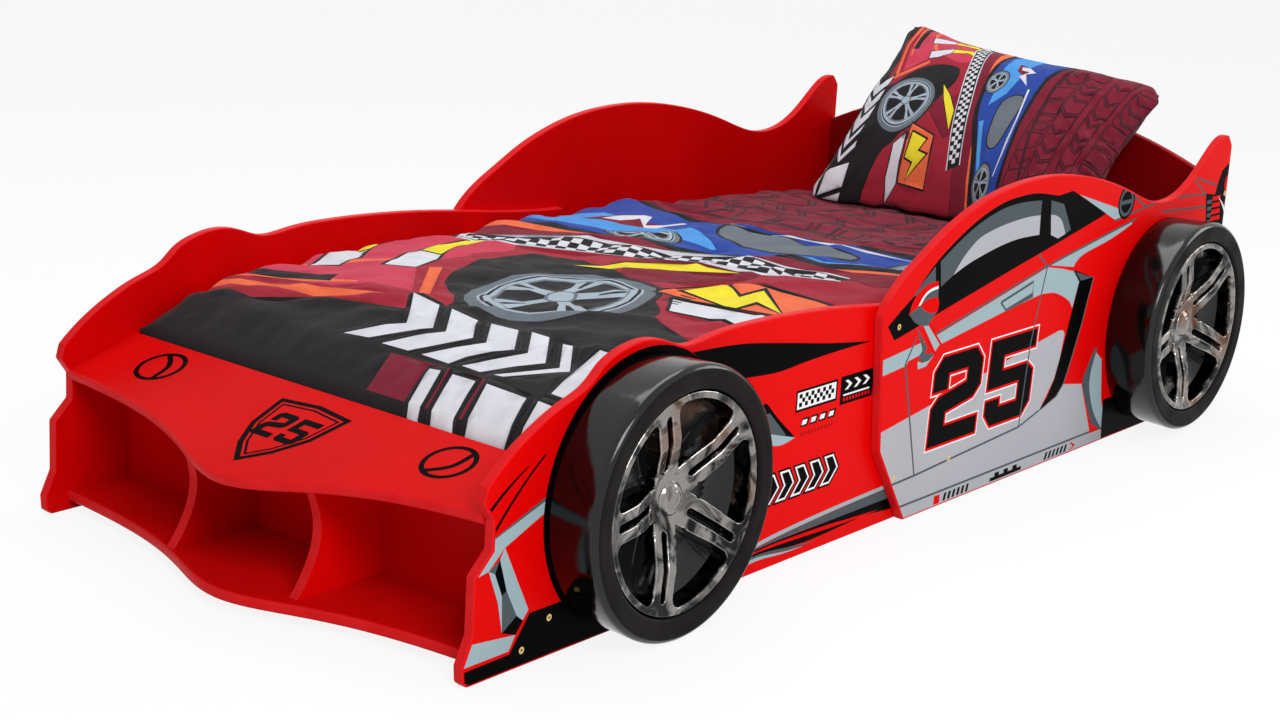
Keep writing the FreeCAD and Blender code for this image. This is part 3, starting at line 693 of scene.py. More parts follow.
def rear_layers(flip):
    """Window, mirror, door lines, number, intake, fin and tail lights."""
    window_top = curve([(970, 358), (1009, 381), (1042, 399), (1078, 429), (1119, 456), (1180, 486),
                        (1243, 510), (1309, 526), (1368, 531), (1430, 530), (1507, 517)])
    window = window_top + [(1561, 520), (1701, 461), (1622, 446), (1489, 422), (1363, 400), (1242, 378),
                           (1126, 357), (1055, 342), (993, 331)]
    glass_low = curve([(1447, 488), (1397, 490), (1321, 486), (1249, 475), (1213, 459), (1187, 441),
                       (1163, 418)])
    glass_top = curve([(1118, 448), (1181, 478), (1244, 501), (1316, 516), (1381, 519), (1447, 515)])
    return [
        # silver lower door
        ("silver", [(950, 170), (974, 175), (1137, 196), (1460, 243), (1560, 256), (1575, 255),
                    (1584, 247), (1575, 200), (1560, 162), (1516, 111), (1600, 146), (1676, 133),
                    (1733, 28), (1850, 27), (1850, 0), (950, 0)]),
        # stripe with the handle
        ("mist", [(950, 300), (966, 302), (1090, 314), (1080, 292), (1042, 287), (1036, 280), (950, 273)]),
        ("mist", [(1126, 318), (1494, 386), (1547, 376), (1600, 363), (1620, 341), (1603, 293)]
         + curve([(1603, 293), (1590, 307), (1570, 318), (1545, 328), (1523, 334), (1479, 338)], 3)
         + [(1356, 326), (1142, 300)]),
        ("mist", [(1504, 388), (1723, 421), (1811, 432), (1809, 427)]
         + curve([(1809, 427), (1726, 408), (1633, 394), (1604, 384), (1592, 373)]) + [(1546, 381)]),
        ("slate", band([(1118, 320), (1492, 389), (1827, 436)], 4)),
        ("slate", band([(1335, 344), (1446, 366), (1447, 341), (1355, 327), (1335, 344), (1340, 345)], 5)),
        # window
        ("black", window),
        ("slate", [(1103, 442), (1070, 420), (1040, 398), (1060, 400), (1108, 412)]),
        ("slate", glass_top + glass_low + [(1126, 403)]),
        ("silver", glass_low + curve([(1163, 418), (1209, 431), (1255, 440), (1313, 449), (1378, 454),
                                      (1449, 452)])),
        ("slate", [(1482, 511), (1530, 499), (1545, 478), (1566, 447), (1546, 441), (1486, 470)]),
        ("silver", curve([(1486, 484), (1504, 481), (1525, 471), (1539, 454), (1546, 441)])
         + [(1521, 436), (1492, 446)]),
        # wedge behind the window and the round cap
        ("mist", [(1587, 510), (1745, 466), (1762, 446), (1736, 445)]),
        *[("slate", band(seam, 4)) for seam in (
            [(1687, 536), (1753, 505), (1812, 479), (1867, 454)],
            curve([(1741, 443), (1810, 449), (1867, 455), (1996, 459), (2125, 450)]),
            [(2050, 496), (2129, 448)],
            [(2050, 496), (2175, 463)],
            [(1936, 437), (2132, 424)])],
        ("black", disc(1778, 474, 33)),
        ("slate", disc(1778, 474, 28)),
        ("black", disc(1778, 474, 21)),
        ("slate", block(1757, 470, 1799, 478)),
        # mirror
        ("slate", [(1060, 344), (1100, 300), (1092, 292), (1125, 287), (1108, 277), (1088, 277), (1077, 283),
                   (1075, 291), (1085, 298)]),
        ("mist", [(1072, 281), (1088, 276), (1108, 277), (1123, 284), (1100, 268), (1075, 267)]),
        ("red", [(1073, 346), (1101, 344), (1146, 300), (1124, 284)]),
        ("mist", [(1081, 342), (1097, 340), (1139, 300), (1126, 290)]),
        ("red", curve([(1032, 369), (1041, 389), (1059, 404), (1085, 413), (1117, 415)])
         + [(1121, 361), (1060, 378)]),
        ("white", curve([(1059, 379), (1064, 385), (1074, 395), (1091, 403), (1118, 406)])
         + [(1119, 386), (1094, 386)]),
        ("slate", curve([(1066, 379), (1072, 386), (1080, 393), (1096, 399), (1119, 401)])
         + [(1120, 385), (1092, 387)]),
        ("red", curve([(1064, 379), (1092, 387), (1121, 384), (1122, 361), (1103, 360), (1083, 367)],
                      closed=True)),
        ("slate", [(1032, 369), (1064, 380), (1083, 367), (1103, 360), (1121, 361), (1113, 354),
                   (1094, 340), (1073, 343), (1052, 352)]),
        # number
        *number_layers(flip),
        # seams
        *[("slate", band(seam, 4)) for seam in (
            [(1063, 326), (1034, 283), (1093, 75)],
            [(1456, 415), (1492, 388), (1479, 338), (1457, 246), (1443, 93)],
            [(1015, 73), (1093, 75), (1443, 93), (1516, 111)],
            [(1050, 27), (1732, 27)])],
        # side intake
        ("slate", [(1590, 367), (1678, 341), (1663, 300), (1652, 261), (1619, 182), (1602, 147), (1578, 126),
                   (1516, 109), (1540, 132), (1562, 163), (1587, 234), (1620, 341)]),
        ("black", [(1596, 367), (1674, 341), (1660, 300), (1648, 261), (1615, 183), (1599, 149),
                   (1575, 128), (1516, 111), (1540, 132), (1562, 163), (1587, 234), (1620, 341)]),
        ("slate", [(1604, 362), (1668, 342), (1626, 342)]),
        # crescent before the rear wheel
        ("red", [(1672, 134), (1676, 132), (1733, 30), (1850, 27), (1850, 24), (1729, 24)]),
        ("slate", curve([(1710, 196), (1693, 169), (1675, 135), (1700, 90), (1730, 43)])
         + curve([(1730, 43), (1777, 22), (1734, 66), (1708, 116), (1706, 151), (1722, 196)])),
        ("mist", curve([(1719, 188), (1706, 151), (1708, 116), (1734, 66), (1777, 22)])
         + curve([(1777, 22), (1797, 22), (1764, 80), (1756, 114), (1745, 170)])),
        # sill marks
        ("red", block(1166, 5, 1185, 21)),
        *[("black", block(1196 + i * 15, 6, 1204 + i * 15, 20, 4)) for i in range(6)],
        *[("black", block(1356 + i * 16, 6, 1372 + i * 16, 13 + 7 * (i % 2))) for i in range(7)],
        *[("black", block(1552 + i * 15, 6, 1560 + i * 15, 20, 6)) for i in range(6)],
        ("red", [(1650, 5), (1664, 12), (1650, 20), (1658, 20), (1673, 12), (1658, 5)]),
        # fin and tail lights
        ("black", [(2240, 520), (2226, 508), (2190, 492), (2179, 472), (2168, 445), (2126, 451),
                   (2140, 386), (2150, 376), (2206, 372), (2240, 350)]),
        ("red", disc(2240, 462, 32, 26)),
        *[("red", block(2160, 432 - i * 14, 2196 + i * 2, 441 - i * 14)) for i in range(4)],
        *[("slate", block(2136 + i * 3, 428 - i * 14, 2157 + i, 436 - i * 14)) for i in range(4)],
        ("white", curve([(2184, 440), (2212, 414), (2234, 380), (2250, 348)])
         + curve([(2250, 356), (2240, 384), (2225, 408), (2208, 424)])),
        # wheel arch and the foot under the wheel
        ("black", disc(1956, 219, 201, steps=60)),
        ("black", [(1778, 0), (1774, 30), (1770, 84), (2210, 84), (2210, 0)]),
    ]


def number_layers(flip):
    """A plain racing number with a red line round it, turned to read right on the other side too."""
    figures = numeral(2, 1126, 116, 158, 158, 8) + numeral(5, 1312, 116, 158, 158, 8)
    if flip:
        figures = [[(NUMBER_MIDDLE * 2 - x, z) for x, z in outline] for outline in figures]
    out = []
    for ink, edge in (("white", 7.2), ("red", 4.6), ("black", 0.0)):
        out += [(ink, grown(outline, edge)) for outline in figures]
    return out


NUMBER_MIDDLE = 1304       # x that the number is turned about on the right side
FILM_LIFT = 0.12           # how far the film stands off the paint
FRONT_FACE = 478.0         # outer faces of the front and rear side boards from the middle
REAR_FACE = 496.0


def add_films():
    """Film on both sides and on the hood."""
    pieces = []
    for side, sign in (("left", -1), ("right", 1)):
        for label, layers, outline, face in (("front", front_layers(), front_outline(), FRONT_FACE),
                                             ("rear", rear_layers(sign > 0), rear_outline(), REAR_FACE)):
            def where(x, z, y=sign * (face + FILM_LIFT)):
                return at(x, y, z)
            mesh = film_mesh("film_%s_%s" % (label, side), layers, outline, where)
            if sign > 0:
                mesh.flip_normals()
            pieces.append(("print_film_%s_%s" % (label, side), mesh))
    pieces.append(("print_film_hood", film_mesh("film_hood", hood_layers(), block(-50, -455, 180, 455),
                                                hood_point)))
    for name, mesh in pieces:
        new_object(name, mesh, "root", slot="painted_board")


HOOD_SLOPE = math.radians(16.2)
HOOD_BACK = (184, 278)     # x and z where the hood's painted face meets its upright board


def hood_point(x, y):
    """From the drawing of the hood (x from the nose, y across) to the painted surface."""
    z = HOOD_BACK[1] - (HOOD_BACK[0] - x) * math.tan(HOOD_SLOPE)
    return at(x - FILM_LIFT * math.sin(HOOD_SLOPE), y, z + FILM_LIFT * math.cos(HOOD_SLOPE))


def hood_layers():
    """Two round lamps with a bar and a plain shield with the number."""
    out = []
    for sign in (-1, 1):
        x, y = 123, sign * 322
        out.append(("black", disc(x, y, 43)))
        out.append(("none", disc(x, y, 35)))
        across, along = math.cos(0.5 * sign), math.sin(0.5 * sign)
        bar = [(x - 38 * across, y - 38 * along), (x + 13 * along, y - 13 * across),
               (x + 38 * across, y + 38 * along)]
        out.append(("black", band(curve(bar, 6), 9)))
    mid = -25
    shield = [(142, mid + 78), (152, mid), (142, mid - 78), (70, mid - 66), (20, mid - 38), (-20, mid),
              (20, mid + 38), (70, mid + 66)]
    out += [(ink, grown(shield, -inward)) for ink, inward in (("black", 0), ("none", 9), ("black", 13),
                                                              ("none", 17))]
    for figure, y in ((2, mid + 47), (5, mid - 3)):
        for outline in numeral(figure, 0, 0, 42, 66, 4):
            out.append(("black", [(48 + z, y - x) for x, z in outline]))
    return out


# ---- wheels -------------------------------------------------------------------------------------
WHEELS = [                 # name, x, side board's face, height of the axis, turn in degrees
    ("front", 360, FRONT_FACE, 208.5, 20),
    ("rear", 1956, REAR_FACE, 219, 27),
]
WHEEL_GROWTH = 1.035       # the wheel drawings are for a radius of 200
RIM_FRONT = 90.0           # heights over the board: rim's face, hub, dish behind the bars, which is painted dark as shade
HUB_FRONT = 60.0
DISH = 40.5
HUB_R = 40                 # radii: hub, bars' bend, end of the openings, lip
KNEE_R = 98.0
OPEN_END = 150.0
LIP_R = 160
LIP_UP = 2                 # the lip stands this far above the rim's face
BEND_DOWN = 7              # and the bend lies this far below it
BARS = 5                   # pairs of bars
SLOT = (46.0, 143.0, 6.5)  # the groove in a pair of bars: first and last radius, half its width
SLOT_DEPTH = 24.0
HALF_SECTOR = 17           # points across half of a pair's sector
RIM_RINGS = [0.5, 8, 16, 24, 32, 38, 42, 44, 46, 47.5, 49, 51, 53, 56, 60, 65, 70, 76, 82, 88, 93, 96.5,
             99.5, 103, 108, 114, 120, 125, 129, 132, 134, 136, 138, 140, 141.5, 143, 144.5, 146, 147.5,
             149, 150.5, 152, 154, 157, 160, 161.5, 163]


def ease(value):
    """Smooth step from 0 to 1."""
    value = min(1.0, max(0.0, value))
    return value * value * (3 - 2 * value)


def bar_height(r):
    """Height of the bars' face over the board at radius r."""
    bend = RIM_FRONT - BEND_DOWN
    if r < HUB_R:
        return HUB_FRONT
    if r < KNEE_R:
        return HUB_FRONT + (bend - HUB_FRONT) * (r - HUB_R) / (KNEE_R - HUB_R)
    if r < OPEN_END:
        return bend + BEND_DOWN * (r - KNEE_R) / (OPEN_END - KNEE_R)
    if r < OPEN_END + 3:
        return RIM_FRONT + LIP_UP * (r - OPEN_END) / 3
    if r < LIP_R:
        return RIM_FRONT + LIP_UP
    return RIM_FRONT + LIP_UP - 5 * ((r - LIP_R) / 3) ** 2


def bar_outside(r):
    """Half the width of a pair of bars at radius r: it narrows outwards and flares into the rim."""
    flare = 0.0
    if r > OPEN_END - 16:
        k = min(1.0, (r - OPEN_END + 16) / 16)
        flare = 14 * (1 - math.sqrt(max(0.0, 1 - k * k)))
    return 25 - 2.5 * ease((r - 60) / 60) + flare


def rim_height(r, off):
    """Height of the rim at radius r, and how deep it lies in a slot or opening, which picks the dark gloss
    painted there as shade; off being the distance from a pair's middle line.
    """
    face = bar_height(r)
    slot_in, slot_out, slot_half = SLOT
    end = min(max(r, slot_in + slot_half), slot_out - slot_half)
    groove = SLOT_DEPTH * ease((slot_half - math.hypot(off, r - end)) / 4.0)
    opening = ease(min(off - bar_outside(r), (OPEN_END - r) * 0.9) / 4.5)
    return face - max(groove, (face - DISH) * opening), max(groove / SLOT_DEPTH, opening)


def rim_mesh(turn):
    """Rim made as rings of points that follow the edges of bars, slots and openings."""
    half = math.pi / BARS
    limit = half * 0.999
    points, shades = [], []
    for r in RIM_RINGS:
        wide = bar_outside(r)
        offs = [0.0, 2.2, 4.0, 5.4, 6.6, 8.0, 0.5 * (8 + wide), wide - 1.6, wide, wide + 1.2, wide + 2.6,
                wide + 4.4, wide + 5.6]
        angles = []
        for i, off in enumerate(offs):
            share = 0.2 + 0.8 * i / HALF_SECTOR if r < 60 else 1 - 0.012 * (HALF_SECTOR - i)
            angles.append(min(math.asin(min(1.0, off / r)), limit * share))
        rest = HALF_SECTOR - len(offs)
        last = angles[-1]
        angles += [last + (half - last) * (k + 1) / rest for k in range(rest)]
        for pair in range(BARS):
            middle = pair * 2 * half
            for a, swing in ([(middle + a, a) for a in angles[:-1]]
                             + [(middle + 2 * half - a, a) for a in angles[:0:-1]]):
                height, low = rim_height(r, r * math.sin(swing))
                points.append((r * math.cos(a + turn), r * math.sin(a + turn), height))
                shades.append(low)
    per = len(points) // len(RIM_RINGS)
    faces = ring_quads(len(RIM_RINGS), per)
    # faces deep in the slots and openings take the dark gloss: painted shade in the recesses
    index = [1 if sum(shades[v] for v in quad) / 4 > 0.8 else 0 for quad in faces]
    centre = len(points)
    points.append((0, 0, HUB_FRONT))
    faces += [(centre, j, (j + 1) % per) for j in range(per)]
    index += [0] * per
    # back: the outer ring turns down and a plain back closes the sheet
    outer = centre - per
    back = centre + 1
    rim_edge = points[outer:centre]
    points += [(x, y, RIM_FRONT - 6) for x, y, _ in rim_edge]
    points += [(x * 0.86, y * 0.86, DISH - 3) for x, y, _ in rim_edge]
    points.append((0, 0, DISH - 3))
    for j in range(per):
        k = (j + 1) % per
        faces.append((outer + j, back + j, back + k, outer + k))
        faces.append((back + j, back + per + j, back + per + k, back + k))
        faces.append((back + per + j, back + 2 * per, back + per + k))
        index += [0, 1, 1]
    mesh = mesh_from("rim", [(x * MM, y * MM, z * MM) for x, y, z in points], faces)
    mesh.polygons.foreach_set("material_index", index)
    return mesh


def lathe(name, profile, steps):
    """Closed surface of revolution about Z from (radius, height) points in millimetres."""
    points = []
    for i in range(steps):
        a = 2 * math.pi * i / steps
        points += [(r * math.cos(a) * MM, r * math.sin(a) * MM, h * MM) for r, h in profile]
    return mesh_from(name, points, ring_quads(steps, len(profile), True))


def tyre_mesh():
    """Formed tyre: tread that narrows to the board, tight shoulder, faintly dished side wall."""
    outer = [(196, 0), (196.6, 12), (198, 42), (199.4, 70), (200, 84)]
    for i in range(1, 8):
        a = math.radians(90 * i / 8)
        outer.append((189 + 11 * math.cos(a), 85 + 11 * math.sin(a)))
    outer += [(188, 96), (184, 95.9), (180, 95.6), (174, 95.3), (170, 95.2), (167, 94.6), (164.6, 93),
              (163.4, 90.5), (163, 87)]
    profile = outer + [(166, 87), (168, 91), (176, 92.4), (187, 93), (194, 90), (197, 84), (196, 60),
                       (193, 0)]
    mesh = lathe("tyre", profile, 192)
    wall = range(10, len(outer) - 1)
    mesh.polygons.foreach_set("material_index", [1 if i % len(profile) in wall else 0
                                                 for i in range(len(mesh.polygons))])
    return mesh


def cap_mesh():
    """Domed hub cap with a plain sunk ring."""
    profile = [(0, 71), (6, 70.7), (11, 69.8), (14, 68.9), (15.2, 67.6), (16.4, 67.9), (19, 67.2),
               (22, 65.2), (24.4, 62.8), (25.6, 61.2), (26.4, 60.6), (26.4, 57), (0, 57)]
    mesh = lathe("cap", profile, 64)
    merge_points(mesh, 1e-6)
    return mesh


def stand_on_side(mesh, x, face, height, growth):
    """Turn a wheel mesh made about Z so that its axis points away from the bed's left side."""
    mesh.transform(Matrix.Translation(at(x, -face, height)) @ Matrix.Rotation(math.radians(90), 4, "X")
                   @ Matrix.Diagonal((growth, growth, 1, 1)))
    fix_normals(mesh)
    return mesh


def add_wheels():
    """Rims, tyres and caps in place of the plain ones."""
    for end, x, face, height, turn in WHEELS:
        rim = stand_on_side(rim_mesh(math.radians(90 + turn)), x, face, height, WHEEL_GROWTH)
        piece = new_object("rim_" + end, rim, "root", M["chrome"], M["dish"], slot="rim_chrome")
        piece.modifiers.new("smooth", "SUBSURF").render_levels = 1
        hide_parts("wheel_rim_" + end)
        tyre = stand_on_side(tyre_mesh(), x, face, height, WHEEL_GROWTH)
        piece = new_object("tyre_" + end, tyre, "root", M["tyre"], M["wall"], slot="tyre_plastic")
        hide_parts("tyre_shell_" + end)
        cap = stand_on_side(cap_mesh(), x, face, height, 1.0)
        piece = new_object("cap_" + end, cap, "root", M["chrome"], slot="rim_chrome")
        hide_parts("hub_cap_" + end)


# ---- screws -------------------------------------------------------------------------------------
def screw_mesh():
    """Countersunk screw about Z, its head upwards at zero, with a cross recess."""
    work = bmesh.new()
    steps = 32
    angles = [2 * math.pi * i / steps for i in range(steps)]
    cross = [0.9 + 1.9 * abs(math.cos(2 * a)) ** 6 for a in angles]
    rings = [(cross, -1.9), (cross, -0.1)]
    rings += [([radius] * steps, height) for radius, height in
              ((5.1, 0.05), (5.5, -0.25), (3.0, -3.5), (2.8, -26.0), (0.4, -29.5))]
    loops = [[work.verts.new((r * math.cos(a) * MM, r * math.sin(a) * MM, height * MM))
              for a, r in zip(angles, radii)] for radii, height in rings]
    # the recess faces take the darker metal, painted shade
    work.faces.new(loops[0]).material_index = 1
    work.faces.new(loops[-1][::-1])
    for level, (a, b) in enumerate(zip(loops, loops[1:])):
        for i in range(steps):
            j = (i + 1) % steps
            face = work.faces.new((a[i], b[i], b[j], a[j]))
            face.smooth = level > 1
            face.material_index = 1 if level == 0 else 0
    bmesh.ops.recalc_face_normals(work, faces=work.faces)
    mesh = bpy.data.meshes.new("screw")
    work.to_mesh(mesh)
    work.free()
    return mesh


SCREWS = [                 # replaced node, (x, z) places, side board's face
    ("nose_screws", [(119.5, 25), (175, 59), (175, 223)], FRONT_FACE),
    ("side_joint_screws", [(1005, 352), (1028, 84), (1204, 82)], REAR_FACE),
    ("headboard_screws", [(2215, 442), (2215, 252), (2215, 100)], REAR_FACE),
]


def add_screws():
    """Screws with a cross recess in place of the plain ones, each turned its own way."""
    for label, places, face in SCREWS:
        mesh = bpy.data.meshes.new(label)
        with opened(mesh) as work:
            for sign in (-1, 1):
                for x, z in places:
                    screw = screw_mesh()
                    turn = Matrix.Rotation(math.radians(-90 * sign), 4, "X")
                    spin = Matrix.Rotation(random.uniform(0, 1.5), 4, "Z")
                    screw.transform(Matrix.Translation(at(x, sign * (face + 0.2), z)) @ turn @ spin)
                    work.from_mesh(screw)
        piece = new_object("dressed_" + label, mesh, "root", M["brass"], M["recess"], slot="brass_screws")
        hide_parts(label)


# ---- bedding ------------------------------------------------------------------------------------
CLOTH = {
    "night": (24, 22, 25),
    "pearl": (206, 207, 214),
    "maroon": (116, 24, 44),
    "wine": (62, 22, 34),
    "crimson": (150, 32, 50),
    "rose": (190, 56, 80),
    "orange": (224, 104, 66),
    "yellow": (224, 208, 46),
    "blue": (38, 66, 148),
    "sky": (72, 144, 212),
    "grey": (98, 106, 114),
    "pale": (156, 170, 182),
}


def printed_cotton(name, rgb):
    """Printed percale: fine threads, a little sheen, small creases."""
    paint = Paint(name, Roughness=0.85, Sheen_Weight=0.06, Specular_IOR_Level=0.15)
    paint.vary(linear(rgb), 26.0, 0.07)
    add_weave(paint, 3800.0)
    paint.bump(paint.noise(24.0, 4.0, (1.0, 1.6, 1.0)), 0.0022)
    paint.bump(paint.noise(120.0, 3.0), 0.0004)
    return paint.material


for cloth_name, cloth_rgb in CLOTH.items():
    M["cloth_" + cloth_name] = printed_cotton("cotton_" + cloth_name, cloth_rgb)


PRINT_WIDE = 560           # half the width of the printed stuff


def outlined(ink, outline, width):
    """A shape with a dark line round it."""
    return [("night", grown(outline, width)), (ink, outline)]


def ring_motif(x, y, rx, ry):
    """A plain ring with five pairs of spokes."""
    def ring(ink, across, along):
        return (ink, disc(x, y, rx * across, ry * along))
    art = [ring("night", 1.3, 1.36), ring("grey", 1.22, 1.26), ring("pale", 1.07, 1.09),
           ring("night", 1.04, 1.05), ring("pale", 1, 1), ring("grey", 0.9, 0.9), ring("night", 0.84, 0.84)]
    spoke = [(0.1, -0.9), (0.5, -0.2), (0.88, -0.24), (0.88, -0.07), (0.5, -0.04), (0.5, 0.04), (0.88, 0.07),
             (0.88, 0.24), (0.5, 0.2), (0.1, 0.9)]
    for i in range(5):
        a = 2 * math.pi * (i + 0.3) / 5
        art.append(("pale", [(x + rx * reach * math.cos(a + swing), y + ry * reach * math.sin(a + swing))
                             for reach, swing in spoke]))
    return art + [ring("grey", 0.22, 0.22), ring("pale", 0.17, 0.17)]


def speed_block(x0, x1, y, width, lean, point):
    """A slanted bar, or a chevron where point is more than zero."""
    middle = (x0 + x1) / 2
    if point <= 0:
        return [(x0, y), (x1, y + lean), (x1, y + lean - width), (x0, y - width)]
    return [(x0, y), (middle, y - point), (x1, y), (x1, y - width), (middle, y - point - width),
            (x0, y - width)]


def slab_row(x0, x1, y, widths, gap, lean, point=0):
    """Pale slabs with a line round them, in a row across the bed."""
    art = []
    for width in widths:
        art += outlined("pearl", speed_block(x0, x1, y, width, lean, point), 9)
        y -= width + gap
    return art


def racing_print():
    """A made-up racing pattern; x from the nose foot, y across the bed."""
    wide = PRINT_WIDE
    art = [("maroon", [(100, -wide), (2400, -wide), (2400, wide), (100, wide)])]
    # dark slabs on the plain end
    dice = random.Random(11)
    for row, x in enumerate((1470, 1590, 1735, 1880, 2010)):
        y = 500.0 - 30 * row
        while y > -480:
            width = dice.choice((30, 44, 72))
            point = 34 if (row + int(width)) % 3 else 0
            slab = speed_block(x, x + 96, y, width, 30, point)
            art += [("wine", grown(slab, 8)), ("maroon", slab)]
            y -= width + 24
    art += [
        ("wine", band([(1440, wide), (1452, 200), (1500, -80), (1620, -wide)], 20)),
        # red side
        ("crimson", [(150, wide), (150, -wide), (1190, -wide), (1090, -150), (930, 250), (800, wide)]),
        ("rose", [(345, wide), (360, 400), (415, 240), (476, 110), (590, 215)]
         + curve([(640, 250), (820, 215), (880, 290), (760, 420), (720, wide)])),
        ("maroon", curve([(760, -60), (900, 0), (1000, 40)]) + [(1080, -170), (1000, -200)]),
        ("night", [(90, -wide), (90, wide), (300, wide), (302, 460), (307, 314), (361, 186), (400, 66),
                   (419, -7), (470, 10)]
         + curve([(504, 41), (560, 120), (640, 164), (740, 184), (840, 176), (880, 110), (862, 20),
                  (820, -80), (750, -166), (690, -240), (620, -300), (560, -wide)])),
        ("orange", band([(318, wide), (326, 430), (380, 236), (458, 66), (612, 190)], 22)),
        ("orange", band([(352, wide), (366, 420), (412, 290), (450, 214)], 13)),
        ("night", band([(398, wide), (396, 420), (428, 300), (444, 262)], 32)),
        ("orange", band([(440, wide), (470, 420), (560, 300), (640, 236)], 20)),
    ]
    for x, y in ((520, 352), (590, 236)):
        art += outlined("pearl", [(x - 30, y + 26), (x - 4, y - 22), (x + 56, y - 8), (x + 120, y + 38),
                                  (x + 206, y + 66), (x + 112, y + 78), (x + 44, y + 50)], 6)
        art += outlined("yellow", [(x + 120, y + 38), (x + 206, y + 66), (x + 345, y + 52), (x + 236, y + 92),
                                   (x + 112, y + 78)], 5)
    art += ring_motif(645, -66, 146, 112)
    # slabs at the foot
    art += slab_row(286, 440, 70.0, (58, 58, 58, 36, 20), 28, 34, 62)
    art += slab_row(286, 440, -366.0, (96, 54, 26), 22, 40)
    art.append(("maroon", [(200, -70), (272, -52), (272, -250), (200, -270)]))
    art += slab_row(168, 262, -170.0, (24, 46, 78, 120), 24, 26)
    # orange panel with a bolt
    art += outlined("orange", [(772, -168), (936, -196), (972, -400), (800, -392)], 7)
    art += outlined("yellow", [(800, -200), (900, -214), (872, -262), (930, -270), (840, -374), (862, -306),
                               (806, -298)], 8)
    art += outlined("pearl", [(700, -250), (760, -210), (786, -400), (740, -470), (716, -380)], 6)
    art += [("night", band([(740 + i * 9, -196 - i * 2), (746 + i * 9, -232)], 4)) for i in range(6)]
    art += outlined("yellow", [(820, 60), (900, 10), (985, -70), (1012, -160), (940, -84), (880, -20)], 5)
    # chequered sash
    start, end = Vector((800, 530)), Vector((1128, -300))
    along = (end - start).normalized()
    across = Vector((-along.y, along.x))
    art += [("pearl", band([start, end], 82)), ("night", band([start, end], 70))]
    size = 19.0
    for i in range(int((end - start).length / size)):
        for j in range(3):
            if (i + j) % 2 == 0:
                p = start + along * i * size + across * (j - 1.5) * size
                art.append(("pearl", [tuple(p + step * size) for step in (Vector((0, 0)), along,
                                                                          along + across, across)]))
    art += [
        ("orange", curve([(930, wide), (1000, 300), (1110, 0), (1210, -260), (1290, -wide)])
         + curve([(1330, -wide), (1250, -250), (1150, 20), (1050, 300), (990, wide)])),
        # blue side
        ("night", curve([(1010, wide), (1030, 260), (1100, -40), (1230, -280), (1300, -wide)])
         + curve([(1480, -wide), (1440, -250), (1410, 0), (1400, 240), (1440, wide)])),
        ("blue", curve([(1040, wide), (1052, 270), (1120, -20), (1250, -250), (1330, -wide)])
         + curve([(1450, -wide), (1418, -230), (1388, 20), (1376, 240), (1400, wide)])),
        ("sky", curve([(1080, wide), (1086, 300), (1136, 120), (1160, 0)])
         + curve([(1220, 90), (1230, 260), (1200, wide)])),
        ("maroon", [(1150, 330), (1230, 300), (1262, 210), (1180, 250)]),
        ("pearl", [(1180, 300), (1196, 268), (1250, 262), (1214, 214), (1300, 160), (1240, 240),
                   (1290, 262), (1226, 300)]),
        *outlined("grey", curve([(1230, 40), (1330, 90), (1352, -60), (1330, -190), (1270, -160)],
                                closed=True), 7),
        ("sky", band([(1180, -90), (1290, -300), (1390, -wide)], 26, 8)),
        ("pearl", band([(1330, 140), (1376, -40), (1392, -300)], 12, 4)),
    ]
    return art + ring_motif(1120, 150, 44, 62) + ring_motif(1330, -340, 44, 62)


def spread(low, high, step):
    """Even numbers from low to high, about a step apart."""
    count = max(1, round((high - low) / step))
    return [low + (high - low) * i / count for i in range(count + 1)]


SWELL_FRAMES = 20


def swell(mesh, pinned, pressure, growth):
    """Cloth simulation under air pressure; gives the moved points."""
    source = linked("swelling", mesh.copy())
    if pinned:
        group = source.vertex_groups.new(name="held")
        group.add(pinned, 1.0, "REPLACE")
    cloth = source.modifiers.new("cloth", "CLOTH")
    settings = cloth.settings
    settings.quality = 5
    settings.mass = 0.25
    settings.tension_stiffness = 12
    settings.compression_stiffness = 12
    settings.shear_stiffness = 4
    settings.bending_stiffness = 0.25
    settings.use_pressure = True
    settings.uniform_pressure_force = pressure
    settings.shrink_min = growth
    settings.effector_weights.gravity = 0
    if pinned:
        settings.vertex_group_mass = "held"
    cloth.collision_settings.use_collision = False
    scene = bpy.context.scene
    for number in range(1, SWELL_FRAMES + 1):
        scene.frame_set(number)
    shown = source.evaluated_get(bpy.context.evaluated_depsgraph_get())
    found = np.empty(len(mesh.vertices) * 3)
    shown.data.vertices.foreach_get("co", found)
    scene.frame_set(1)
    bpy.data.objects.remove(source)
    return found.reshape(-1, 3)


def sheet_grid(us, vs, surface):
    """Quad grid of a surface(u, v) in metres: points and faces."""
    u, v = np.meshgrid(us, vs, indexing="ij")
    points = surface(u.ravel(), v.ravel())
    rows = len(vs)
    faces = [(i * rows + j, (i + 1) * rows + j, (i + 1) * rows + j + 1, i * rows + j + 1)
             for i in range(len(us) - 1) for j in range(rows - 1)]
    return points, faces


def sample(field, us, vs, u, v):
    """Bilinear reading of a field kept on an even grid."""
    fu = np.clip((u - us[0]) / (us[-1] - us[0]) * (len(us) - 1), 0, len(us) - 1.001)
    fv = np.clip((v - vs[0]) / (vs[-1] - vs[0]) * (len(vs) - 1), 0, len(vs) - 1.001)
    i, j = fu.astype(int), fv.astype(int)
    a, b = (fu - i)[:, None], (fv - j)[:, None]
    return (field[i, j] * (1 - a) * (1 - b) + field[i + 1, j] * a * (1 - b)
            + field[i, j + 1] * (1 - a) * b + field[i + 1, j + 1] * a * b)


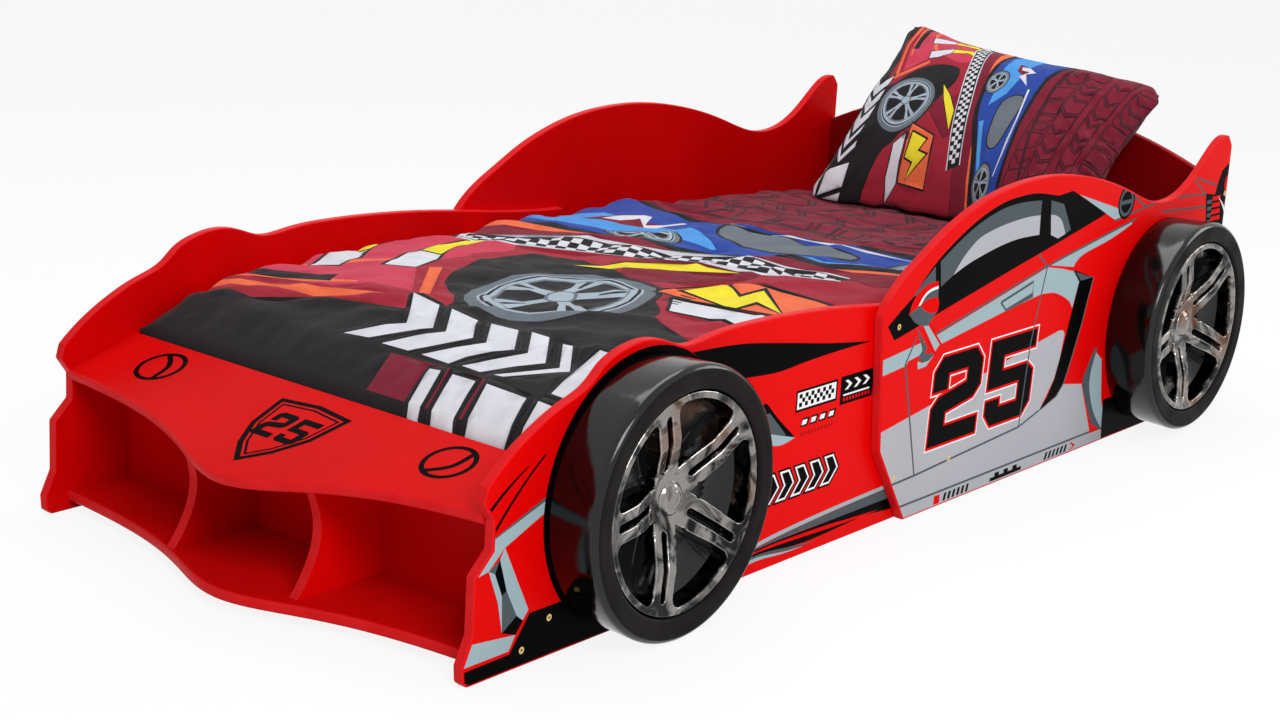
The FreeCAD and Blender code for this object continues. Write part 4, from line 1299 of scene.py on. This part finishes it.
def creases(u, v, lines):
    """Sum of soft ridges: each is (u0, v0, u1, v1, height, half width)."""
    total = np.zeros_like(u)
    for u0, v0, u1, v1, height, half in lines:
        du, dv = u1 - u0, v1 - v0
        length = math.hypot(du, dv)
        t = ((u - u0) * du + (v - v0) * dv) / length ** 2
        off = ((u - u0) * dv - (v - v0) * du) / length
        off = off + 6 * np.sin(t * 5 + u0)
        body = np.clip(4 * t * (1 - t), 0, 1) ** 0.6
        side = np.where(off > 0, half, half * 0.6)
        total += height * body * np.exp(-(off / side) ** 2)
    return total


def ripples(u, v, scale, seed):
    """Smooth noise in about -1..1 made of a few crossed waves."""
    dice = random.Random(seed)
    total = np.zeros_like(u)
    for _ in range(14):
        a = dice.uniform(0, math.pi)
        k = dice.uniform(0.5, 1.6) / scale
        phase = dice.uniform(0, 6.28)
        bend = dice.uniform(0.5, 2.0)
        along = u * math.cos(a) + v * math.sin(a)
        cross = -u * math.sin(a) + v * math.cos(a)
        total += np.sin(2 * math.pi * k * along + bend * np.sin(2 * math.pi * cross / scale / 2.3) + phase)
    return total / 5.0


def smooth_step(x):
    """Smooth steps from 0 to 1, for arrays."""
    x = np.clip(x, 0, 1)
    return x * x * (3 - 2 * x)


DUVET_HALF = 457.0         # half its width, in millimetres, as all of these
DUVET_BASE = 285.7         # its flat underside over the floor
DUVET_ROLL = 46.0          # how far in each long side begins to roll down
DUVET_SIDE = 52.0          # cloth that goes down each long side beyond the roll's width
TUCK_START = 150.0         # the cloth's own coordinate along the bed: tucked end, end of the tuck, head end
TUCK_END = 240.0
DUVET_END = 2085.0
DUVET_CREASES = [          # from (u, v) to (u, v), height, half width
    (260, 440, 420, 210, 7, 16), (300, 330, 470, 60, -6, 14), (330, 250, 520, -60, 8, 18),
    (360, 120, 430, -200, 7, 14), (240, 60, 330, -330, -5, 22), (430, 30, 640, -300, 6, 20),
    (520, 440, 640, 300, 6, 18), (700, 430, 840, 330, 5, 16), (860, 300, 1100, 60, 6, 26),
    (760, -180, 1180, -330, 7, 20), (820, -120, 1250, -250, -6, 18), (900, -60, 1330, -180, 8, 22),
    (980, 40, 1420, -60, -6, 24), (1010, 130, 1500, 80, 7, 24), (1050, 230, 1560, 230, -5, 26),
    (1200, 420, 1580, 330, 6, 24), (1420, 200, 1700, 380, 5, 22), (640, -330, 900, -440, 7, 20),
    (1350, -100, 1640, -260, 6, 26), (1500, 60, 1760, -60, 6, 24), (300, -150, 520, -420, 7, 18),
]


def duvet_height(u):
    """Top of the duvet above its base along the cloth, in millimetres."""
    return np.interp(u, [150, 172, 186, 198, 212, 240, 269, 330, 425, 520, 617, 973, 1107, 1349, 1684,
                         2000, 2060, 2085],
                     [-30, -14, -2, 9, 19, 35, 50, 66, 80, 84, 85, 87, 88, 79, 61, 42, 30, 6])


def duvet_along(u):
    """Where the cloth lies along the bed: its foot end goes down behind the hood."""
    tucked = np.interp(u, [150, 172, 186, 198, 212, TUCK_END], [187.6, 187.8, 190.0, 198.5, 211.5, TUCK_END])
    return np.where(u < TUCK_END, tucked, u)


def duvet_surface(u, v):
    """The duvet's top from the cloth's own coordinates (u along the bed, v across, rolls included)."""
    # the long sides roll down by a quarter turn
    flat = DUVET_HALF - DUVET_ROLL
    over = np.clip((np.abs(v) - flat) / (DUVET_ROLL + DUVET_SIDE), 0, 1)
    turn = over * math.pi / 2
    y = np.where(over > 0, flat + DUVET_ROLL * np.sin(turn), np.abs(v)) * np.sign(v)
    # creases and ripples, none where the cloth is tucked in or ends
    inner = np.clip(v, -flat, flat)
    height = duvet_height(u)
    loose = smooth_step((u - 200) / 160) * smooth_step((DUVET_END - u) / 120)
    height = height + loose * (1.35 * creases(u, inner, DUVET_CREASES) + 5.0 * ripples(u, inner, 330.0, 5)
                               + 3.4 * ripples(u, inner, 120.0, 8) + 1.2 * ripples(u, inner, 52.0, 12) - 5.0)
    z = DUVET_BASE + height * np.cos(turn) ** 0.9
    return np.stack([NOSE_X + duvet_along(u) * MM, MIDDLE_Y + y * MM, z * MM], axis=1)


def rim_loop(faces):
    """Numbers of the points on the triangles' outer edge."""
    edges = {(a, b) for face in faces for a, b in zip(face, face[1:] + face[:1])}
    return {k for a, b in edges if (b, a) not in edges for k in (a, b)}


def frame_points(low, high, step):
    """Points along the edge of a box of cloth, and those of a grid inside it."""
    us, vs = spread(low[0], high[0], step), spread(low[1], high[1], step)
    edge = [(u, vs[0]) for u in us[:-1]] + [(us[-1], v) for v in vs[:-1]]
    edge += [(u, vs[-1]) for u in us[:0:-1]] + [(us[0], v) for v in vs[:0:-1]]
    return edge, [(u, v) for u in us[1:-1] for v in vs[1:-1]]


def sewn_piece(name, low, high, step, art, upper, lower, body):
    """A closed cloth piece cut from printed stuff; upper and lower give its two sides' points."""
    edge, grid = frame_points(low, high, step)
    flat, faces, inks = cut_sheet(art, edge, grid)
    names = sorted(set(inks) - {"clip"})
    index = [names.index(ink) if ink in names else 0 for ink in inks]
    loop = rim_loop(faces)
    inner = [k for k in range(len(flat)) if k not in loop]
    number = {k: len(flat) + i for i, k in enumerate(inner)}
    under = [[number.get(k, k) for k in face[::-1]] for face in faces]
    points = np.vstack([upper(flat[:, 0], flat[:, 1]), lower(flat[:, 0], flat[:, 1])[inner]])
    mesh = mesh_from(name, points, faces + under)
    mesh.polygons.foreach_set("material_index", index + index)
    piece = new_object(name, mesh, body, *[M["cloth_" + ink] for ink in names], slot="bedding_cotton")
    return piece


def eased_shift(found, points, limit):
    """How far the simulation moved each point, held below a limit."""
    shift = found - points
    return shift * limit / (limit + np.linalg.norm(shift, axis=1)[:, None])


def make_duvet():
    """The quilt; gives its top as a function, for what lies on it."""
    half = DUVET_HALF + DUVET_SIDE
    us, vs = spread(TUCK_START, DUVET_END, 13), spread(-half, half, 13)
    moved = np.zeros((len(us), len(vs), 3))
    points, faces = sheet_grid(us, vs, duvet_surface)
    rim = [i * len(vs) + j for i in range(len(us)) for j in range(len(vs))
           if us[i] < 215 or i == len(us) - 1 or j in (0, len(vs) - 1)]
    mesh = mesh_from("duvet_rest", points, faces)
    moved = eased_shift(swell(mesh, rim, 1.2, -0.045), points, 0.012).reshape(moved.shape)
    bpy.data.meshes.remove(mesh)

    def upper(u, v):
        placed = duvet_surface(u, v) + sample(moved, us, vs, u, v)
        placed[:, 1] = np.clip(placed[:, 1], MIDDLE_Y - DUVET_HALF * MM, MIDDLE_Y + DUVET_HALF * MM)
        placed[:, 2] = np.where(u > 200, np.maximum(placed[:, 2], DUVET_BASE * MM), placed[:, 2])
        return placed

    def lower(u, v):
        placed = upper(u, v)
        tucked = smooth_step((TUCK_END - u) / 30)
        placed[:, 0] += 0.0022 * tucked
        thin = np.minimum(placed[:, 2] - 0.0015, DUVET_BASE * MM)
        placed[:, 2] = np.where(tucked > 0, thin, DUVET_BASE * MM)
        return placed

    piece = sewn_piece("quilt", (TUCK_START, -half), (DUVET_END, half), 11, racing_print(), upper, lower,
                       "duvet")
    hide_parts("duvet")
    return upper


PILLOW_HALF = 325.0        # half its length and half its width, in millimetres
PILLOW_WIDE = 235.0
PILLOW_DRAW = 22.0         # how far the long seams are drawn in at the middle
PILLOW_FRONT = 71.0        # how far it swells to its front and to its back
PILLOW_BACK = 112.0
PILLOW_DEEP = (-0.118, 0.0745)      # metres: the swelling is cut off here, behind and in front
PILLOW_CUT = (228, 0.37, 0.5)       # the print's start along the bed and its scales along and across
PILLOW_CREASES = [         # from (u, v) to (u, v), height, half width
    (214, 120, 316, 40, -8, 18), (170, 60, 250, -70, 6, 18), (228, 40, 312, -60, 7, 18),
    (200, -20, 262, -170, -7, 18), (120, 140, 200, 200, 5, 14), (262, -60, 318, -180, 7, 16),
    (150, 190, 300, 30, 9, 14), (120, 60, 310, -60, -8, 14), (140, -40, 300, -190, 9, 16),
    (190, 200, 210, -60, 8, 16), (240, 150, 250, -150, -9, 15), (60, 214, 120, 60, 5, 14),
    (-10, 216, 20, 120, 4, 10), (-120, 218, -100, 130, 4, 10), (-300, 180, -230, 110, 5, 12),
    (-310, -170, -210, -90, 6, 14), (-60, -212, -30, -120, 5, 12), (90, -205, 60, -60, 7, 16),
    (200, 216, 216, 170, 6, 8), (262, 216, 250, 150, 7, 9),
]


def pillow_turn():
    """From the pillow's own axes to the bed's: it leans back and lies across the bed."""
    tilt = Matrix.Rotation(math.radians(4), 3, "X")
    swing = Matrix.Rotation(math.radians(-90), 3, "Z")
    lean = Matrix.Rotation(math.radians(42), 3, "X")
    return np.array(tilt @ swing @ lean)


def pillow_side(sign, scale):
    """One side of the pillow in its own axes: (u along it, v up it) to points in metres."""
    def surface(u, v):
        # t and s go from -1 to 1 between the seams; full is 1 in the middle and 0 at the seams
        t, s = u / PILLOW_HALF, v / PILLOW_WIDE
        wide = PILLOW_WIDE - PILLOW_DRAW * (1 - t * t)
        long = PILLOW_HALF - 10 * (1 - s * s) * smooth_step(np.abs(t) * 2)
        full = (1 - np.abs(t) ** 2.6) ** 0.6 * (1 - np.abs(s) ** 2.1) ** 0.8
        reach = PILLOW_FRONT if sign > 0 else PILLOW_BACK
        height = 3.0 + (reach - 3.0) * full * scale
        loose = smooth_step(full * 2.2)
        if sign > 0:
            height = height + loose * (creases(u, v, PILLOW_CREASES) + 2.5 * ripples(u, v, 190.0, 3)
                                       + 1.5 * ripples(u, v, 70.0, 9) * smooth_step((u - 60) / 120))
        else:
            height = height + loose * 3.0 * ripples(u, v, 160.0, 4)
        height = height * smooth_step((1 - np.maximum(np.abs(t), np.abs(s))) * 22) * sign
        # the right end slumps, and the corners are drawn in
        slump = np.clip((u - 100) / 225, 0, 1) ** 2
        corner = smooth_step((np.abs(t) - 0.88) / 0.12) * smooth_step((np.abs(s) - 0.84) / 0.16)
        along = t * (long - 11 * corner) - 16 * slump
        up = s * (wide - 11 * corner) - 14 * slump * (1 + s) - 8
        return np.stack([along * MM, up * MM, (height - 20 * slump) * MM], axis=1)
    return surface


def make_pillow(quilt_top):
    """Pillow with sewn edges that leans on the headboard and rests its lower seam on the quilt."""
    turn = pillow_turn()
    solid = np.array([tuple(v.co) for v in nodes["pillow"].data.vertices]) @ turn
    low, high = solid.min(axis=0), solid.max(axis=0)
    middle = (low + high) / 2
    middle[2] = high[2] - 0.075
    us = spread(-PILLOW_HALF, PILLOW_HALF, 8)
    vs = spread(-PILLOW_WIDE, PILLOW_WIDE, 8)
    still = np.zeros((len(us), len(vs), 3))
    moved = {1: still, -1: still}
    scale = 1.0
    scale = 0.92
    top, faces = sheet_grid(us, vs, pillow_side(1, scale))
    under, _ = sheet_grid(us, vs, pillow_side(-1, scale))
    loop = rim_loop([list(face) for face in faces])
    inner = [k for k in range(len(top)) if k not in loop]
    number = {k: len(top) + i for i, k in enumerate(inner)}
    both = faces + [tuple(number.get(k, k) for k in face[::-1]) for face in faces]
    points = np.vstack([top, under[inner]])
    mesh = mesh_from("pillow_rest", points, both)
    shift = eased_shift(swell(mesh, None, 4.0, -0.05), points, 0.016)
    order = [number.get(k, k) for k in range(len(top))]
    grid_u, grid_v = np.meshgrid(us, vs, indexing="ij")
    calm = 1 - 0.9 * smooth_step((np.hypot(grid_u / PILLOW_HALF, grid_v / PILLOW_WIDE) - 1.15) / 0.2)
    moved = {1: shift[:len(top)].reshape(still.shape) * calm[:, :, None],
             -1: shift[order].reshape(still.shape) * calm[:, :, None]}
    bpy.data.meshes.remove(mesh)

    def quilt_height(points):
        x = (points[:, 0] - NOSE_X) / MM
        return quilt_top(np.minimum(x, DUVET_END - 90), (points[:, 1] - MIDDLE_Y) / MM)[:, 2]

    # how far the lower seam would float over the quilt, along its length
    seam_u = np.linspace(-PILLOW_HALF, PILLOW_HALF, 60)
    seam = pillow_side(1, 1.0)(seam_u, np.full(60, -PILLOW_WIDE)) @ turn.T + turn @ middle
    gap = seam[:, 2] - quilt_height(seam) - 0.004
    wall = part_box("headboard")[0].x - 0.001

    def side(sign):
        def surface(u, v):
            placed = pillow_side(sign, scale)(u, v) + sample(moved[sign], us, vs, u, v)
            placed[:, 2] = np.clip(placed[:, 2], *PILLOW_DEEP)
            placed = placed @ turn.T + turn @ middle
            droop = smooth_step((-v / PILLOW_WIDE - 0.1) / 0.9)
            placed[:, 2] -= droop * np.interp(u, seam_u, np.maximum(gap, 0))
            placed[:, 0] = np.minimum(placed[:, 0], wall)
            rest = quilt_height(placed) + (0.003 if sign > 0 else 0.0012)
            placed[:, 2] = np.maximum(placed[:, 2], rest)
            return placed
        return surface

    start, along, across = PILLOW_CUT
    art = [(ink, [((x - start) * along - PILLOW_HALF, y * across) for x, y in outline])
           for ink, outline in racing_print()]
    piece = sewn_piece("pillow_case", (-PILLOW_HALF, -PILLOW_WIDE), (PILLOW_HALF, PILLOW_WIDE), 7, art,
                       side(1), side(-1), "pillow")
    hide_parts("pillow")


MATTRESS_CORNER = 0.045    # metres, as all of these
PIPE_UP = 0.009            # the piping's middle, from the mattress's top or bottom face
PIPE_R = 0.003
STITCH_PITCH = 0.14
STITCH_DEPTH = 0.004
STITCH_HALF = 0.011


def mattress_ring(half_x, half_y):
    """Points round the mattress, seen from above, and the way out at each."""
    ring = []
    for cx, cy, start in ((1, 1, 0), (-1, 1, 90), (-1, -1, 180), (1, -1, 270)):
        middle = np.array((cx * (half_x - MATTRESS_CORNER), cy * (half_y - MATTRESS_CORNER)))
        for i in range(11):
            angle = math.radians(start + 9 * i)
            out = np.array((math.cos(angle), math.sin(angle)))
            ring.append((middle + MATTRESS_CORNER * out, out))
    filled = []
    for (here, out), (there, _) in zip(ring, ring[1:] + ring[:1]):
        parts = max(1, round(np.linalg.norm(there - here) / 0.03))
        filled += [(here + (there - here) * i / parts, out) for i in range(parts)]
    return filled


def stitched(x, y, half_x, half_y):
    """Depth of the stitched diamonds in the mattress's top."""
    lines = []
    for way in (x + y, x - y):
        turns = way / STITCH_PITCH
        lines.append(np.abs(turns - np.round(turns)) * STITCH_PITCH * 0.7071)
    off = np.minimum(*lines)
    past_x = np.maximum(np.abs(x) - half_x + MATTRESS_CORNER, 0)
    past_y = np.maximum(np.abs(y) - half_y + MATTRESS_CORNER, 0)
    inward = MATTRESS_CORNER - np.hypot(past_x, past_y)
    return STITCH_DEPTH * np.exp(-(off / STITCH_HALF) ** 2) * smooth_step((inward - 0.015) / 0.03)


def make_mattress():
    """Foam mattress in ticking: rounded corners, piping round both faces, stitched top."""
    low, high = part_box("mattress")
    centre = (low + high) / 2
    half_x, half_y = (high.x - low.x) / 2, (high.y - low.y) / 2
    tall = high.z - low.z
    # the side from the bottom up, as (way in, height): rounded edge, piping, wall; then its mirror
    lower = [(0.012, 0.0), (0.005, 0.0007), (0.0022, 0.0028), (0.0014, 0.0052)]
    for degrees in range(-75, 76, 25):
        angle = math.radians(degrees)
        lower.append((0.0016 - PIPE_R * math.cos(angle), PIPE_UP + PIPE_R * math.sin(angle)))
    lower += [(0.0014, 0.0128), (0.0002, 0.018), (0.0004, 0.034)]
    levels = lower + [(0.0002, tall / 2)] + [(inset, tall - up) for inset, up in lower[::-1]]
    ring = mattress_ring(half_x, half_y)
    points = []
    for inset, up in levels:
        for spot, out in ring:
            x, y = spot - out * inset
            points.append((centre.x + x, centre.y + y, low.z + up))
    faces = [quad[:1] + quad[:0:-1] for quad in ring_quads(len(levels), len(ring))]
    faces.append(tuple(range(len(ring)))[::-1])
    # the top is a grid of triangles with the stitching pressed into it
    edge = [tuple((spot - out * levels[-1][0]) / MM) for spot, out in ring]
    _, grid = frame_points((-half_x / MM + 18, -half_y / MM + 18), (half_x / MM - 18, half_y / MM - 18), 11)
    inside = covered(grown(edge, -6), np.array(grid))
    flat, top_faces, _ = cut_sheet([], edge, [spot for spot, kept in zip(grid, inside) if kept])
    x, y = flat[:, 0] * MM, flat[:, 1] * MM
    first = len(points)
    points += list(np.stack([centre.x + x, centre.y + y, high.z - stitched(x, y, half_x, half_y)], axis=1))
    faces += [tuple(first + k for k in face) for face in top_faces]
    mesh = mesh_from("mattress_cover", points, faces)
    merge_points(mesh, 0.00002)
    fix_normals(mesh)
    piece = new_object("mattress_cover", mesh, "mattress", M["ticking"], slot="mattress_ticking")
    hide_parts("mattress")


# ---- light and stage ----------------------------------------------------------------------------
def add_area(name, place, target, size, power):
    """A rectangular lamp turned to a point."""
    data = bpy.data.lights.new(name, "AREA")
    data.shape = "RECTANGLE"
    data.size, data.size_y = size
    data.energy = power
    lamp = linked(name, data)
    lamp.location = place
    lamp.rotation_euler = (Vector(target) - Vector(place)).to_track_quat("-Z", "Y").to_euler()


FLOOR_WHITE = 0.88         # how much of the floor is plain white in the picture, the rest takes light
WORLD_LIGHT = 0.42         # the backdrop's strength for the rays that light the object
LAMPS = [                  # name, place, point lit, width and height in metres, watts
    ("key", (-2.6, -3.4, 3.2), (0.0, -0.2, 0.3), (2.4, 1.8), 128),
    ("overhead", (0.4, 0.6, 3.6), (0.1, 0.0, 0.3), (3.0, 2.0), 68),
    ("tail_fill", (3.2, -2.2, 1.8), (0.6, -0.3, 0.3), (1.6, 1.6), 30),
]


def background_rays(kit, share):
    """The share for rays that look at the backdrop, and zero for rays that light the object."""
    path = kit.node("ShaderNodeLightPath")
    total = path.outputs["Is Camera Ray"]
    for other in ("Is Glossy Ray", "Is Transmission Ray"):
        total = kit.math("MAXIMUM", total, path.outputs[other])
    return kit.math("MULTIPLY", total, share)


def add_stage():
    """White floor and backdrop, and three lamps."""
    mesh = mesh_from("floor", [(-30, -30, 0), (30, -30, 0), (30, 30, 0), (-30, 30, 0)], [(0, 1, 2, 3)])
    paint = Paint("floor_paint", Roughness=0.9, Specular_IOR_Level=0.0)
    paint.colour(linear((244, 244, 244)))
    mixed = paint.node("ShaderNodeMixShader")
    for number, value in enumerate((background_rays(paint, FLOOR_WHITE), paint.shader.outputs[0],
                                    paint.node("ShaderNodeEmission").outputs[0])):
        paint.feed(mixed.inputs[number], value)
    paint.feed(paint.tree.nodes["Material Output"].inputs["Surface"], mixed.outputs[0])
    mesh.materials.append(paint.material)
    linked("floor", mesh)
    world = bpy.data.worlds.new("studio")
    bpy.context.scene.world = world
    world.use_nodes = True
    kit = Kit(world.node_tree)
    back = kit.tree.nodes["Background"]
    kit.feed(back.inputs["Color"], (1, 1, 1, 1))
    kit.feed(back.inputs["Strength"], kit.span(background_rays(kit, 1.0), 0.0, 1.0, WORLD_LIGHT))
    for lamp in LAMPS:
        add_area(*lamp)


bpy.context.scene.view_settings.view_transform = "Standard"
make_camera()
add_stage()
add_films()
add_wheels()
add_screws()
make_mattress()
make_pillow(make_duvet())
